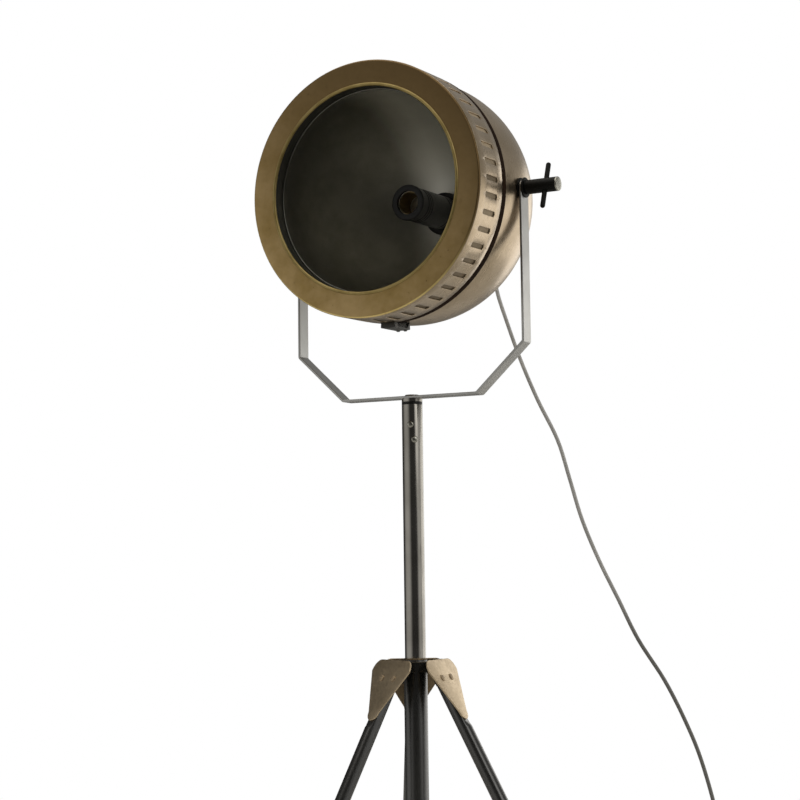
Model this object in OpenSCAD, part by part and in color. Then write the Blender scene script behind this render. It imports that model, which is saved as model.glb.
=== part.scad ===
// Tripod searchlight floor lamp.
// Millimetres, +Z up. The origin is on the floor under the mast, and the lamp faces -Y.

/* [Stand] */
// Height of the top of the hub above the floor
hub_z = 687; // [600:1:760]
// Lean of each leg from the vertical, in degrees
leg_splay = 27.8; // [24:0.1:31]
// Distance of a leg's axis from the mast's axis, at the top of the hub
leg_top_r = 22; // [21:0.5:24]
// Turn of the legs about the mast from the lamp's own sides, in degrees
stand_turn = 3; // [0:0.5:10]
// Outer diameter of a leg tube
leg_d = 17; // [15:0.5:19]
// Wall of a leg tube
leg_wall = 1.5; // [1:0.1:2.5]
// How far below the top of the hub a leg tube starts, along the leg
leg_start = 7; // [6:0.5:9]
// Outer diameter of a rubber foot
foot_d = 24; // [22:0.5:30]
// Length of a rubber foot along the leg
foot_len = 46; // [38:1:70]
// Rubber between the end of a leg and the floor
foot_sole = 6; // [4:0.5:9]
// Thickness of a hub plate
plate_t = 2; // [1.5:0.1:3]
// Distance of a hub plate from the leg's axis, where the leg is pressed flat to seat it
plate_seat = 5.3; // [4.8:0.1:6.2]
// Width of a hub plate along its top edge
plate_top_w = 53; // [46:1:60]
// Width of a hub plate across its shoulders
plate_w = 78; // [72:1:86]
// Depth of a hub plate's shoulders below its top edge
plate_shoulder = 15; // [12:1:20]
// Length of a hub plate along the leg
plate_len = 78; // [70:1:90]
// Width of a hub plate at its tip
plate_tip_w = 20; // [14:1:24]
// Distance between the two screws of a hub plate
plate_screw_pitch = 24; // [23:0.5:28]
// Depth of the two screws below a hub plate's top edge
plate_screw_drop = 24; // [21:1:27]
// Radius of the hub's round core
hub_core_r = 18.5; // [17.5:0.5:20]
// Height of the hub's round core
hub_core_h = 12; // [11:0.5:14]

/* [Column and mast] */
// Outer diameter of the column tube
column_d = 28; // [27.4:0.1:30]
// Bore of the column tube
column_bore = 26.2; // [26:0.1:26.6]
// Length of the column tube
column_len = 470; // [440:5:560]
// Outer diameter of the mast tube
mast_d = 25; // [24:0.1:25.2]
// Wall of the mast tube
mast_wall = 1.5; // [1:0.1:2]
// Length of mast between the hub and the yoke
mast_show = 313; // [260:1:400]
// Length of mast inside the column
mast_in = 220; // [180:1:250]
// Diameter of the yoke's spigot
spigot_d = 16; // [12:0.5:17]
// Length of the yoke's spigot
spigot_len = 62; // [58:1:80]
// Depth of the upper pan lock screw below the yoke
pan_screw_drop = 32; // [26:1:36]
// Distance between the two pan lock screws
pan_screw_pitch = 18; // [14:1:20]

/* [Yoke] */
// Width of the yoke strip
strip_w = 20; // [18:0.5:24]
// Thickness of the yoke strip
strip_t = 3; // [2.5:0.1:4]
// Length of the flat of the yoke's base
yoke_flat = 184; // [150:1:220]
// Height of the pivot above the underside of the yoke's base
pivot_h = 242; // [225:1:280]
// Height of the yoke's upper corners above the underside of its base
yoke_rise = 58.5; // [50:0.5:66]
// Length of the spacer between the head's shell and each arm
spacer_len = 2; // [1.8:0.1:8]
// Radius of the rounded end of an arm
arm_end_r = 10; // [8:0.5:14]

/* [Head] */
// Nod of the head at rest, front down, in degrees
head_nod = 0.8; // [0:0.1:6]
// Distance of the drum's axis below the pivot
drum_drop = 2; // [0:0.5:4]
// Outer radius of the rear shell
shell_r = 150; // [146:0.5:151]
// Wall of the shell, band and ring
sheet = 1.2; // [0.8:0.1:1.6]
// Distance of the shell's front edge before the pivot
shell_front = 43; // [38:1:46]
// Step of the vented front band's outer radius beyond the shell's
band_step = 2.5; // [1.5:0.1:3]
// Distance of the band's rear edge before the pivot
band_rear = 55; // [53:1:58]
// Distance of the front ring's face before the pivot
ring_front = 113.5; // [106:0.5:122]
// Step of the dark seam ring inside the band's surface
seam_step = 0.2; // [0.1:0.1:1]
// Step of the front ring's edge inside the band's surface
ring_inset = 0.5; // [0.2:0.1:1.5]
// Width of the front ring's face
ring_w = 31; // [26:0.5:38]
// Radius of the rolled lip round the opening
lip_r = 2.2; // [1.6:0.1:3]
// Number of vent slots
slot_n = 48; // [24:4:56]
// Length of a vent slot
slot_len = 30; // [20:1:32]
// Width of a vent slot
slot_w = 6; // [4:0.5:8]
// Distance of the vent slots' centre before the pivot
slot_mid = 82; // [79:0.5:84]
// Room between the band and the liner behind its vent slots
liner_gap = 0.2; // [0.1:0.05:0.4]
// Depth of the black sleeve behind the opening
sleeve_len = 16; // [12:1:22]
// Distance of the reflector's rear edge behind the pivot
reflector_rear = 100; // [90:1:106]
// Width of the keeper clip across the seam, in degrees of arc
clip_arc = 7; // [6:0.5:12]
// Height of the keeper clip above the band
clip_proud = 6.5; // [4:0.5:8]

/* [Lamp holder] */
// Outer diameter of the holder's body
holder_d = 42; // [40:0.5:46]
// Outer diameter of the holder's rear collar
holder_collar_d = 54; // [50:0.5:60]
// Distance of the holder's mouth before the pivot
holder_front = 5; // [0:1:12]
// Length of the rear collar
holder_collar_len = 24; // [18:1:28]
// Bore of the threaded lamp socket
socket_bore = 26.6; // [26.4:0.1:27]
// Depth of the threaded lamp socket
socket_depth = 32; // [26:1:38]
// Outer diameter of the threaded nipple behind the holder
nipple_d = 10; // [9:0.5:12]

/* [Tilt handle] */
// Diameter of the handle's rod
rod_d = 17; // [14:0.5:20]
// Length of the rod outside the yoke's arm
rod_len = 44; // [36:1:60]
// Distance of the cross bar from the rod's end
bar_inset = 17; // [10:1:24]
// Diameter of the cross bar
bar_d = 6; // [5:0.5:8]
// Length of the cross bar
bar_len = 61; // [48:1:72]
// Turn of the cross bar from the vertical, in degrees
bar_turn = 20; // [0:1:40]
// Diameter of the pivot's threaded shank
pivot_d = 8; // [6:0.5:10]

/* [Cord] */
// Diameter of the cord
cord_d = 5; // [4.8:0.1:5.1]
// Length of the tapered strain relief behind the shell
gland_len = 37; // [30:1:40]
// Radius of the coil's outermost turn
coil_r = 38; // [37:0.5:40]
// Step of the coil's spiral for each turn
coil_pitch = 6.3; // [6.2:0.1:6.4]
// Step between the coil's two layers
coil_layer = 5.8; // [5.7:0.1:6]
// Thickness of the strap that ties the coil
tie_t = 1; // [0.8:0.1:1.2]
// Width of the strap that ties the coil
tie_w = 8; // [6:0.5:12]

/* [Foot switch and plug] */
// Width of the foot switch
switch_w = 36; // [32:1:38]
// Height of the foot switch without its button
switch_h = 22; // [20:0.5:26]
// Diameter of the foot switch's button
button_d = 22; // [18:0.5:24]
// Height of the button above the switch
button_proud = 4.5; // [4:0.1:7]
// Width of the plug
plug_w = 36; // [34:0.5:40]
// Length of the plug's body
plug_len = 42; // [38:1:50]
// Diameter of a plug pin
pin_d = 4; // [4:0.1:4.8]
// Length of a plug pin
pin_len = 19; // [17:0.5:20]
// Distance between the plug's pins
pin_pitch = 18.6; // [17.5:0.1:19]

/* [Hidden] */
$fn = 96;

// Clearances: a turning or sliding fit, a pushed-in fit, a fit between the drum's large rings,
// and faces that pass each other
run_fit = 0.05;
seat_fit = 0.05;
ring_fit = 0.15;
face_gap = 0.25;
// Length added to a cut so that it goes right through
through = 1;

// Finishes
gloss_black = "#161512";
antique_brass = "#6b5a38";
bronze = "#7a6c58";
nickel = "#8c8c86";
dark_nickel = "#55534e";
soft_black = "#1c1b19";
rubber_black = "#202020";
brass = "#b08d3c";
steel = "#b9b9b4";
cord_grey = "#3a3936";

// Where the legs stand, from +X towards +Y
right_angle = stand_turn;
rear_angle = stand_turn + 120;
left_angle = stand_turn + 240;
leg_angles = [right_angle, rear_angle, left_angle];

// Legs and feet, measured along a leg from the top of the hub
leg_r = leg_d / 2;
leg_floor = hub_z / cos(leg_splay);
leg_end = leg_floor - (foot_sole + leg_r * sin(leg_splay)) / cos(leg_splay);

// Hub plates, in the leg's frame: x outwards, z up along the leg
plate_top = -plate_seat * tan(leg_splay);
plate_corner_steps = 6;
hub_grip = 12;
hub_block_margin = 4.5;
hub_lug_depth = 8;
leg_flat_low = plate_top - plate_len - plate_t / 2;
hub_block_w = plate_screw_pitch + 2 * hub_block_margin;
hub_block_depth = leg_d + hub_block_margin;
hub_block_top = plate_top - 4;
hub_block_bottom = -leg_start - hub_grip;
hub_top_drop = 2;
plate_screw_d = 4;
plate_screw_head_d = 8;
plate_screw_head_h = 2.2;
plate_screw_len = plate_t + 6;
hub_lug_low = plate_top - plate_screw_drop - 1.5 * plate_screw_d;

// Column and mast
mast_r = mast_d / 2;
mast_bore_r = mast_r - mast_wall;
column_r = column_d / 2;
column_low = hub_z - column_len;
bush_flange = 2;
bush_len = 30;
yoke_z = hub_z + mast_show;
spigot_flange = 4;
mast_bush_flange = 3;
mast_top = yoke_z - spigot_flange - face_gap - mast_bush_flange;
mast_low = hub_z - mast_in;
glide_len = 24;
pan_screw_angle = -61.5;
pan_screw_turn = 12;
pan_screw_d = 4;
pan_screw_head_d = 8;
pan_screw_head_h = 2.4;
pan_screw_sink = 0.7;
pan_slot = 0.9;
lift_angle = stand_turn + 60;
lift_drop = 8.5;
lift_screw_d = 6;
lift_boss_r = 5;
lift_boss_reach = 29;
lift_knob_d = 20;
lift_knob_h = 12;

// Yoke
arm_x = shell_r + spacer_len + face_gap;
yoke_half = yoke_flat / 2;
pivot_z = yoke_z + pivot_h;
bolt_d = 8;
bolt_head_d = 18;
bolt_head_h = 1.6;
bolt_len = 26;

// Head, measured along its axis from the pivot, back positive
band_r = shell_r + band_step;
ring_r = band_r - ring_inset;
opening_r = ring_r - ring_w;
ring_face = -ring_front;
ring_t = 1.8;
ring_edge_r = 2;
skirt_len = 14;
seam_reach = 10;
clip_reach = 5;
clip_back = 21;
sleeve_t = 1.2;
sleeve_r = opening_r + 0.8;
sleeve_front = ring_face + lip_r * 4 / 3 + seat_fit;
sleeve_rear = sleeve_front + sleeve_len;
reflector_t = 1;
reflector_hole_r = holder_collar_d / 2 + 0.3;
reflector_front = sleeve_rear + 0.1;
// The reflector is part of a sphere through its front and rear edges
reflector_mid = (pow(reflector_hole_r, 2) + pow(reflector_rear, 2) - pow(sleeve_r, 2)
    - pow(reflector_front, 2)) / (2 * (reflector_rear - reflector_front));
reflector_r = norm([sleeve_r, reflector_front - reflector_mid]);
clip_t = 1.5;
clip_front = -band_rear - clip_reach;
clip_rear = -shell_front + clip_back;
clip_out = band_r + clip_proud;
clip_screw_d = 3;
clip_screw_head_d = 5.5;
clip_screw_head_h = 1.4;

// Lamp holder
holder_r = holder_d / 2;
holder_wall = 3;
holder_lip = 4;
holder_rear = reflector_rear + 12;
collar_front = holder_rear - holder_collar_len;
thread_t = 0.8;
thread_front = -holder_front + holder_lip + 1;
thread_rear = thread_front + socket_depth;
contact_d = 9;
contact_h = 4;
thread_end = thread_rear - contact_h - 1;
insulator_t = 26;
nipple_front = holder_rear - 8;
nipple_rear = shell_r + 9;
lead_bore = cord_d + 1;
nut_d = 18;
nut_h = 5;
gland_base_d = 20;
gland_base_h = 10;
gland_cone_d = 14;
gland_tip_d = 8.5;
gland_seat = 2;
gland_rear = shell_r + gland_len;

// Tilt handle and pivots
pivot_r = pivot_d / 2;
spacer_d = 24;
nut_reach = 7;
pivot_nut_d = 22;
arm_out = arm_x + strip_t;
rod_front = arm_out + face_gap;
rod_reach = arm_out + rod_len;
bar_reach = rod_reach - bar_inset;
handle_washer_t = 1.5;
cap_t = 2;
cap_nut_d = 14;
cap_nut_h = 7;

// The cord's way down, from the strain relief's tip to the foot switch
cord_exit = [0, gland_rear * cos(head_nod) + drum_drop * sin(head_nod),
    pivot_z + gland_rear * sin(head_nod) - drum_drop * cos(head_nod)];
cord_start = [0, cos(head_nod), sin(head_nod)];
drop_route = [[0, 222, 1239], [1, 230, 1218], [2, 231, 1190], [5, 230, 1160], [17, 231, 1121],
    [35, 235, 1067], [56, 241, 1013], [80, 248, 960], [95, 251, 908], [110, 253, 856], [130, 258, 804],
    [153, 265, 753], [176, 272, 702], [206, 282, 651], [229, 290, 601], [248, 295, 550], [266, 298, 480],
    [281, 300, 400], [292, 301, 310], [299, 301, 220], [303, 300, 130], [308, 298, 72], [317, 294, 34],
    [330, 287, 12], [346, 276, 4], [358, 262, 4]];
cord_rise = 8;
switch_len = 90;
switch_x = 365;
switch_y = 195;
switch_in = [switch_x, switch_y + switch_len / 2, cord_rise];
switch_out = [switch_x, switch_y - switch_len / 2, cord_rise];
drop_sides = 8;
drop_steps = 3;
cord_gap = 0.2;

// The coil beside the foot switch, and the plug at its end
coil_mid = [292, 150];
coil_low = tie_t + 0.4 + cord_d / 2;
coil_sides = 6;
coil_rings = 24;
coil_turns = 2.875;
coil_total = 2 * coil_turns + 0.5;
coil_first = -90;
coil_end_angle = coil_first - 360 * coil_total;
lead_in = [[365, 142, 8], [363, 129, 7], [355, 118, 5], [340, 112.5, 4], [318, 112, coil_low]];
lead_out_len = [12, 24, 36, 46];
plug_face = 50;
plug_h = 2 * cord_rise;
plug_mid_x = coil_mid[0] - coil_r;
plug_y = coil_mid[1] + plug_face;
tie_angle = 45;
tie_room = 0.8;

// Unit vector along v
function unit(v) = v / norm(v);

// u turned square to the direction t
function squared(u, t) = unit(u - t * (u * t));

// A point of the smooth curve from b to c, with neighbours a and d, at share s
function between(a, b, c, d, s) =
    0.5 * (2 * b + (c - a) * s + (2 * a - 5 * b + 4 * c - d) * s * s + (3 * b - a - 3 * c + d) * s * s * s);

// A smooth line through points p, with k steps between each pair
function smooth(p, k) = let (last = len(p) - 1)
    [for (i = [0:last - 1]) for (j = [0:k - 1])
        between(p[max(i - 1, 0)], p[i], p[i + 1], p[min(i + 2, last)], j / k), p[last]];

// Directions along a line of points
function headings(p) = let (last = len(p) - 1)
    [for (i = [0:last]) unit(p[min(i + 1, last)] - p[max(i - 1, 0)])];

// Side directions carried along the headings t without turning about them
function sides_along(t, first) =
    [for (i = 0, u = squared(first, t[0]); i < len(t); i = i + 1, u = squared(u, t[min(i, len(t) - 1)])) u];

// Length of a line of points
function line_len(p, i = 1) = i >= len(p) ? 0 : norm(p[i] - p[i - 1]) + line_len(p, i + 1);

// Radius of the coil's spiral after a number of turns, in and out again
function coil_radius(a) = a < coil_turns ? coil_r - coil_pitch * a
    : a < coil_turns + 0.5 ? coil_r - coil_pitch * coil_turns
    : coil_r - coil_pitch * (coil_total - a);

// Height of the coil after a number of turns: it climbs in the half turn where the spiral reverses
function coil_height(a) = let (s = min(1, max(0, (a - coil_turns) / 0.5)))
    coil_low + coil_layer * (1 - cos(180 * s)) / 2;

// A point of the coil after a number of turns, wound clockwise
function coil_point(a) = let (k = coil_first - 360 * a, r = coil_radius(a))
    [coil_mid[0] + r * cos(k), coil_mid[1] + r * sin(k), coil_height(a)];

// Points of an arc about mid, from angle a to angle b
function arc(mid, r, a, b, n) =
    [for (i = [0:n]) let (k = a + (b - a) * i / n) mid + r * [cos(k), sin(k)]];

drop_line = smooth(concat([cord_exit + cord_gap * cord_start, cord_exit + 18 * cord_start], drop_route,
    [switch_in + [0, 2 * cord_d, 0], switch_in + [0, cord_gap, 0]]), drop_steps);
coil_turn_line = [for (i = [0:coil_rings * coil_total]) coil_point(i / coil_rings)];
coil_exit = coil_point(coil_total);
coil_line = concat([switch_out - [0, cord_gap, 0]], lead_in, coil_turn_line,
    [for (s = lead_out_len) coil_exit + [0, s, (cord_rise - coil_exit[2]) * min(1, s / 36)]],
    [[plug_mid_x, plug_y - cord_gap, cord_rise]]);
// The least gap between turns: points at least half a turn apart along the coil
coil_self_gap = min([for (i = [0:len(coil_line) - 1]) for (j = [i + coil_rings / 2:len(coil_line) - 1])
    norm(coil_line[i] - coil_line[j])]) - cord_d;
echo(coil_self_gap = coil_self_gap, drop_len = line_len(drop_line), coil_len = line_len(coil_line),
    drop_rings = len(drop_line), coil_rings_all = len(coil_line));

// A round tube of n sides along a line of points, with closed ends
module swept_tube(line, r, n) {
    t = headings(line);
    u = sides_along(t, [0.3, 0.2, 1]);
    count = len(line);
    rings = [for (i = [0:count - 1]) for (k = [0:n - 1])
        line[i] + r * (cos(360 * k / n) * u[i] + sin(360 * k / n) * cross(t[i], u[i]))];
    walls = [for (i = [0:count - 2]) for (k = [0:n - 1]) let (a = i * n + k, b = i * n + (k + 1) % n)
        each [[a, a + n, b], [b, a + n, b + n]]];
    end = (count - 1) * n;
    caps = [for (k = [1:n - 2]) each [[0, k, k + 1], [end, end + k + 1, end + k]]];
    polyhedron(points = rings, faces = concat(walls, caps), convexity = 10);
}

// A tube or ring from z0 to z1
module pipe(r_out, r_in, z0, z1) {
    translate([0, 0, z0]) difference() {
        cylinder(r = r_out, h = z1 - z0);
        translate([0, 0, -through]) cylinder(r = r_in, h = z1 - z0 + 2 * through);
    }
}

// A leg's frame: origin on the leg's axis at the top of the hub, x outwards, z up along the leg
module leg_frame(angle) {
    rotate([0, 0, angle]) translate([leg_top_r, 0, hub_z]) rotate([0, -leg_splay, 0]) children();
}

// The head's frame: origin on the drum's axis under the pivot, y to the back
module head_frame() {
    translate([0, 0, pivot_z]) rotate([head_nod, 0, 0]) translate([0, 0, -drum_drop]) children();
}

// Turns a profile of (radius, distance behind the pivot) about the head's axis
module turned() {
    head_frame() rotate([-90, 0, 0]) rotate_extrude() children();
}

// A cylinder on the head's axis from distance a to distance b behind the pivot
module on_axis(r, a, b) {
    head_frame() rotate([-90, 0, 0]) translate([0, 0, a]) cylinder(r = r, h = b - a);
}

// A ring on the head's axis
module ring_on_axis(r_out, r_in, a, b) {
    head_frame() rotate([-90, 0, 0]) pipe(r_out, r_in, a, b);
}

// A cylinder on the pivot's axis from x0 to x1
module on_pivot(r, x0, x1) {
    translate([x0, 0, pivot_z]) rotate([0, 90, 0]) cylinder(r = r, h = x1 - x0);
}

// A box in a plan, with round corners, from z0 to z1
module rounded_slab(w, l, r, z0, z1) {
    translate([0, 0, z0]) linear_extrude(z1 - z0) {
        square([w, l - 2 * r], center = true);
        square([w - 2 * r, l], center = true);
        for (x = [-1, 1]) for (y = [-1, 1]) translate([x * (w / 2 - r), y * (l / 2 - r)]) circle(r);
    }
}

// Stand
// A leg tube, pressed flat where its hub plate lies on it
module leg(angle) {
    flat_x = plate_seat - seat_fit;
    color(gloss_black) leg_frame(angle) {
        difference() {
            pipe(leg_r, leg_r - leg_wall, -leg_end, -leg_start);
            translate([flat_x, -leg_d, leg_flat_low]) cube([leg_d, 2 * leg_d, -leg_flat_low]);
        }
        intersection() {
            translate([0, 0, leg_flat_low]) cylinder(r = leg_r, h = -leg_start - leg_flat_low);
            translate([flat_x - leg_wall, -leg_d, leg_flat_low]) cube([leg_wall, 2 * leg_d, -leg_flat_low]);
        }
    }
}

module leg_right() { leg(right_angle); }
module leg_rear() { leg(rear_angle); }
module leg_left() { leg(left_angle); }

// A rubber foot, cut flat by the floor
module foot(angle) {
    color(rubber_black) difference() {
        leg_frame(angle) difference() {
            translate([0, 0, -leg_floor - foot_d]) cylinder(d = foot_d, h = foot_len + foot_d);
            translate([0, 0, -leg_end - seat_fit]) cylinder(r = leg_r + seat_fit, h = leg_end);
        }
        rotate([0, 0, angle]) translate([leg_top_r + leg_floor * sin(leg_splay), 0, -2 * foot_d])
            cube([8 * foot_d, 8 * foot_d, 4 * foot_d], center = true);
    }
}

module foot_right() { foot(right_angle); }
module foot_rear() { foot(rear_angle); }
module foot_left() { foot(left_angle); }

// Holes for the two screws of each plate, in a leg's frame
module plate_screw_places() {
    for (y = [-1, 1]) translate([plate_seat, y * plate_screw_pitch / 2, plate_top - plate_screw_drop])
        rotate([0, 90, 0]) children();
}

// Direction and place of the lift knob: z outwards from the mast's axis
module lift_frame() {
    translate([0, 0, hub_z - lift_drop]) rotate([0, 0, lift_angle]) rotate([0, 90, 0]) children();
}

// A block behind a hub plate, in a leg's frame
module hub_block(depth, low) {
    translate([plate_seat - depth, -hub_block_w / 2, low])
        cube([depth - seat_fit, hub_block_w, hub_block_top - low]);
}

// The round core with the blocks that hold the legs, and the lugs behind the plates' screws
module hub_core() {
    core_low = hub_z - hub_top_drop - hub_core_h;
    color(gloss_black) difference() {
        union() {
            difference() {
                union() {
                    translate([0, 0, core_low]) cylinder(r = hub_core_r, h = hub_core_h);
                    for (a = leg_angles) leg_frame(a) hub_block(hub_block_depth, hub_block_bottom);
                    lift_frame() cylinder(r = lift_boss_r, h = lift_boss_reach);
                }
                translate([-hub_z / 2, -hub_z / 2, core_low - hub_z]) cube([hub_z, hub_z, hub_z]);
            }
            for (a = leg_angles) leg_frame(a) hub_block(hub_lug_depth, hub_lug_low);
        }
        translate([0, 0, column_low]) cylinder(r = column_r + seat_fit, h = column_len + hub_z);
        for (a = leg_angles) leg_frame(a) {
            translate([0, 0, -leg_end]) cylinder(r = leg_r + seat_fit, h = leg_end - leg_start);
            plate_screw_places() translate([0, 0, -plate_screw_len])
                cylinder(d = plate_screw_d + 2 * seat_fit, h = 2 * plate_screw_len);
        }
        lift_frame() cylinder(d = lift_screw_d + 2 * run_fit, h = 2 * lift_boss_reach);
        // level a little below the top of the plates
        translate([-hub_z / 2, -hub_z / 2, hub_z - hub_top_drop]) cube([hub_z, hub_z, hub_z]);
    }
}

// A shield-shaped plate: square top, round shoulders, narrow tip
module plate_outline() {
    half_top = plate_top_w / 2;
    half = plate_w / 2;
    tip = plate_tip_w / 2;
    rise = half - half_top;
    shoulder = [for (i = [0:plate_corner_steps]) let (k = 90 * i / plate_corner_steps)
        [half_top + rise * sin(k), -plate_shoulder * (1 - cos(k))]];
    end = arc([0, tip - plate_len], tip, 0, -90, plate_corner_steps);
    right = concat(shoulder, end);
    polygon(concat(right, [for (i = [len(right) - 2:-1:0]) [-right[i][0], right[i][1]]]));
}

module hub_plate(angle) {
    color(antique_brass) leg_frame(angle) difference() {
        translate([plate_seat, 0, plate_top]) rotate([90, 0, 90]) linear_extrude(plate_t) plate_outline();
        plate_screw_places() cylinder(d = plate_screw_d + 2 * seat_fit, h = 3 * plate_t, center = true);
    }
}

module hub_plate_right() { hub_plate(right_angle); }
module hub_plate_rear() { hub_plate(rear_angle); }
module hub_plate_left() { hub_plate(left_angle); }

// A round-headed screw with its head on z = 0 and its shank below
module screw(shank_d, length, head_d, head_h) {
    translate([0, 0, -length]) cylinder(d = shank_d, h = length + head_h / 2);
    cylinder(d1 = head_d, d2 = head_d * 0.62, h = head_h);
}

module hub_screws() {
    color(dark_nickel) for (a = leg_angles) leg_frame(a) plate_screw_places() translate([0, 0, plate_t])
        screw(plate_screw_d, plate_screw_len, plate_screw_head_d, plate_screw_head_h);
}

module column() {
    color(gloss_black) difference() {
        pipe(column_r, column_bore / 2, column_low, hub_z);
        lift_frame() cylinder(d = lift_screw_d + 2 * run_fit, h = column_d);
    }
}

// A thin guide sleeve with a collar on the column's top
module column_bush() {
    color(soft_black) difference() {
        union() {
            pipe(column_bore / 2 - seat_fit, mast_r + run_fit, hub_z - bush_len, hub_z + bush_flange);
            pipe(column_r, mast_r + run_fit, hub_z, hub_z + bush_flange);
        }
        lift_frame() cylinder(d = lift_screw_d + 2 * run_fit, h = column_d);
    }
}

module column_end_cap() {
    cap_h = 4;
    plug_h = 14;
    color(soft_black) {
        translate([0, 0, column_low - cap_h]) cylinder(r = column_r, h = cap_h);
        translate([0, 0, column_low - cap_h / 2]) cylinder(r = column_bore / 2 - seat_fit, h = plug_h);
    }
}

// A thumb screw: lobed knob, shank through the boss and the column to the mast
module lift_knob() {
    lobes = 6;
    lobe_r = 3.5;
    color(soft_black) lift_frame() {
        translate([0, 0, mast_r + run_fit]) cylinder(d = lift_screw_d, h = lift_boss_reach);
        translate([0, 0, lift_boss_reach + face_gap]) {
            cylinder(d = lift_knob_d - lobe_r, h = lift_knob_h);
            for (k = [0:lobes - 1]) rotate([0, 0, 360 * k / lobes])
                translate([lift_knob_d / 2 - lobe_r, 0, 0]) cylinder(r = lobe_r, h = lift_knob_h);
        }
    }
}

// Places of the two pan lock screws: z outwards from the mast's axis
module pan_screw_places() {
    for (i = [0, 1]) translate([0, 0, yoke_z - pan_screw_drop - i * pan_screw_pitch])
        rotate([0, 0, pan_screw_angle + (2 * i - 1) * pan_screw_turn]) rotate([0, 90, 0]) children();
}

// Mast
module mast_tube() {
    color(dark_nickel) difference() {
        pipe(mast_r, mast_bore_r, mast_low, mast_top);
        pan_screw_places() cylinder(d = pan_screw_d + 2 * seat_fit, h = mast_d);
    }
}

module mast_glide() {
    color(soft_black) {
        translate([0, 0, mast_low - glide_len / 3])
            cylinder(r = column_bore / 2 - run_fit, h = glide_len / 3);
        translate([0, 0, mast_low - 1]) cylinder(r = mast_bore_r - seat_fit, h = glide_len);
    }
}

module mast_bush() {
    bush_low = yoke_z - spigot_len - 2;
    color(soft_black) difference() {
        union() {
            pipe(mast_bore_r - seat_fit, spigot_d / 2 + run_fit, bush_low, mast_top + mast_bush_flange);
            pipe(mast_r, spigot_d / 2 + run_fit, mast_top, mast_top + mast_bush_flange);
        }
        pan_screw_places() cylinder(d = pan_screw_d + 2 * seat_fit, h = mast_d);
    }
}

module pan_lock_screws() {
    color(steel) pan_screw_places() difference() {
        union() {
            translate([0, 0, spigot_d / 2 + run_fit]) cylinder(d = pan_screw_d, h = mast_r - spigot_d / 2);
            translate([0, 0, mast_r - pan_screw_sink]) cylinder(d = pan_screw_head_d, h = pan_screw_head_h);
        }
        pipe_cut();
        translate([0, 0, mast_r + pan_screw_head_h - pan_screw_sink])
            cube([pan_screw_head_d * 2, pan_slot, 2 * pan_slot], center = true);
    }
}

// The mast's wall as a screw head meets it
module pipe_cut() {
    rotate([0, 90, 0]) difference() {
        cylinder(r = mast_r + seat_fit, h = 3 * pan_screw_head_d, center = true);
        rotate([0, -90, 0]) cylinder(d = pan_screw_d, h = mast_d);
    }
}

// Yoke: a strip bent to a U with two slanting corners
module yoke_strip() {
    slope = atan(yoke_rise / (arm_out - yoke_half));
    low_corner = strip_t * tan(slope / 2);
    high_corner = strip_t * tan(45 - slope / 2);
    outer = [[-arm_out, pivot_h], [-arm_out, yoke_rise], [-yoke_half, 0], [yoke_half, 0],
        [arm_out, yoke_rise], [arm_out, pivot_h]];
    inner = [[arm_x, pivot_h], [arm_x, yoke_rise + high_corner], [yoke_half - low_corner, strip_t],
        [low_corner - yoke_half, strip_t], [-arm_x, yoke_rise + high_corner], [-arm_x, pivot_h]];
    color(nickel) translate([0, 0, yoke_z]) difference() {
        union() {
            translate([0, strip_w / 2, 0]) rotate([90, 0, 0]) linear_extrude(strip_w)
                polygon(concat(outer, inner));
            for (x = [-arm_out, arm_x]) translate([x, 0, pivot_h]) rotate([0, 90, 0])
                cylinder(r = arm_end_r, h = strip_t);
        }
        for (x = [-arm_out, arm_x]) translate([x - through, 0, pivot_h]) rotate([0, 90, 0])
            cylinder(r = pivot_r + run_fit, h = strip_t + 2 * through);
        translate([0, 0, -through]) cylinder(d = bolt_d + 2 * seat_fit, h = strip_t + 2 * through);
    }
}

module yoke_spigot() {
    color(steel) difference() {
        union() {
            translate([0, 0, yoke_z - spigot_len]) cylinder(d = spigot_d, h = spigot_len);
            translate([0, 0, yoke_z - spigot_flange]) cylinder(r = mast_r, h = spigot_flange);
        }
        translate([0, 0, yoke_z - bolt_len]) cylinder(d = bolt_d + 2 * seat_fit, h = bolt_len + through);
    }
}

// A screw with a thin flat head
module yoke_bolt() {
    head_z = yoke_z + strip_t;
    color(dark_nickel) {
        translate([0, 0, yoke_z - bolt_len + 1]) cylinder(d = bolt_d, h = strip_t + bolt_len);
        translate([0, 0, head_z]) cylinder(d1 = bolt_head_d, d2 = bolt_head_d - bolt_head_h, h = bolt_head_h);
    }
}

// Head. Profile of a cup: straight from its front edge to the pivot, then a quarter round to the back
module cup_profile(r, front) {
    translate([0, -front]) square([r, front]);
    intersection() {
        circle(r);
        square([r, r]);
    }
}

module rear_shell() {
    color(bronze) difference() {
        turned() difference() {
            cup_profile(shell_r, shell_front);
            cup_profile(shell_r - sheet, shell_front + through);
        }
        on_pivot(pivot_r + run_fit, -shell_r - through, shell_r + through);
        on_axis(nipple_d / 2 + seat_fit, shell_r / 2, shell_r + through);
    }
}

module front_band() {
    color(bronze) difference() {
        turned() translate([band_r - sheet, ring_face + ring_edge_r])
            square([sheet, ring_front - ring_edge_r - band_rear]);
        head_frame() for (k = [0:slot_n - 1]) rotate([0, 360 * k / slot_n, 0])
            translate([band_r - sheet / 2, -slot_mid, 0])
                cube([4 * sheet, slot_len, slot_w], center = true);
    }
}

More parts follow.
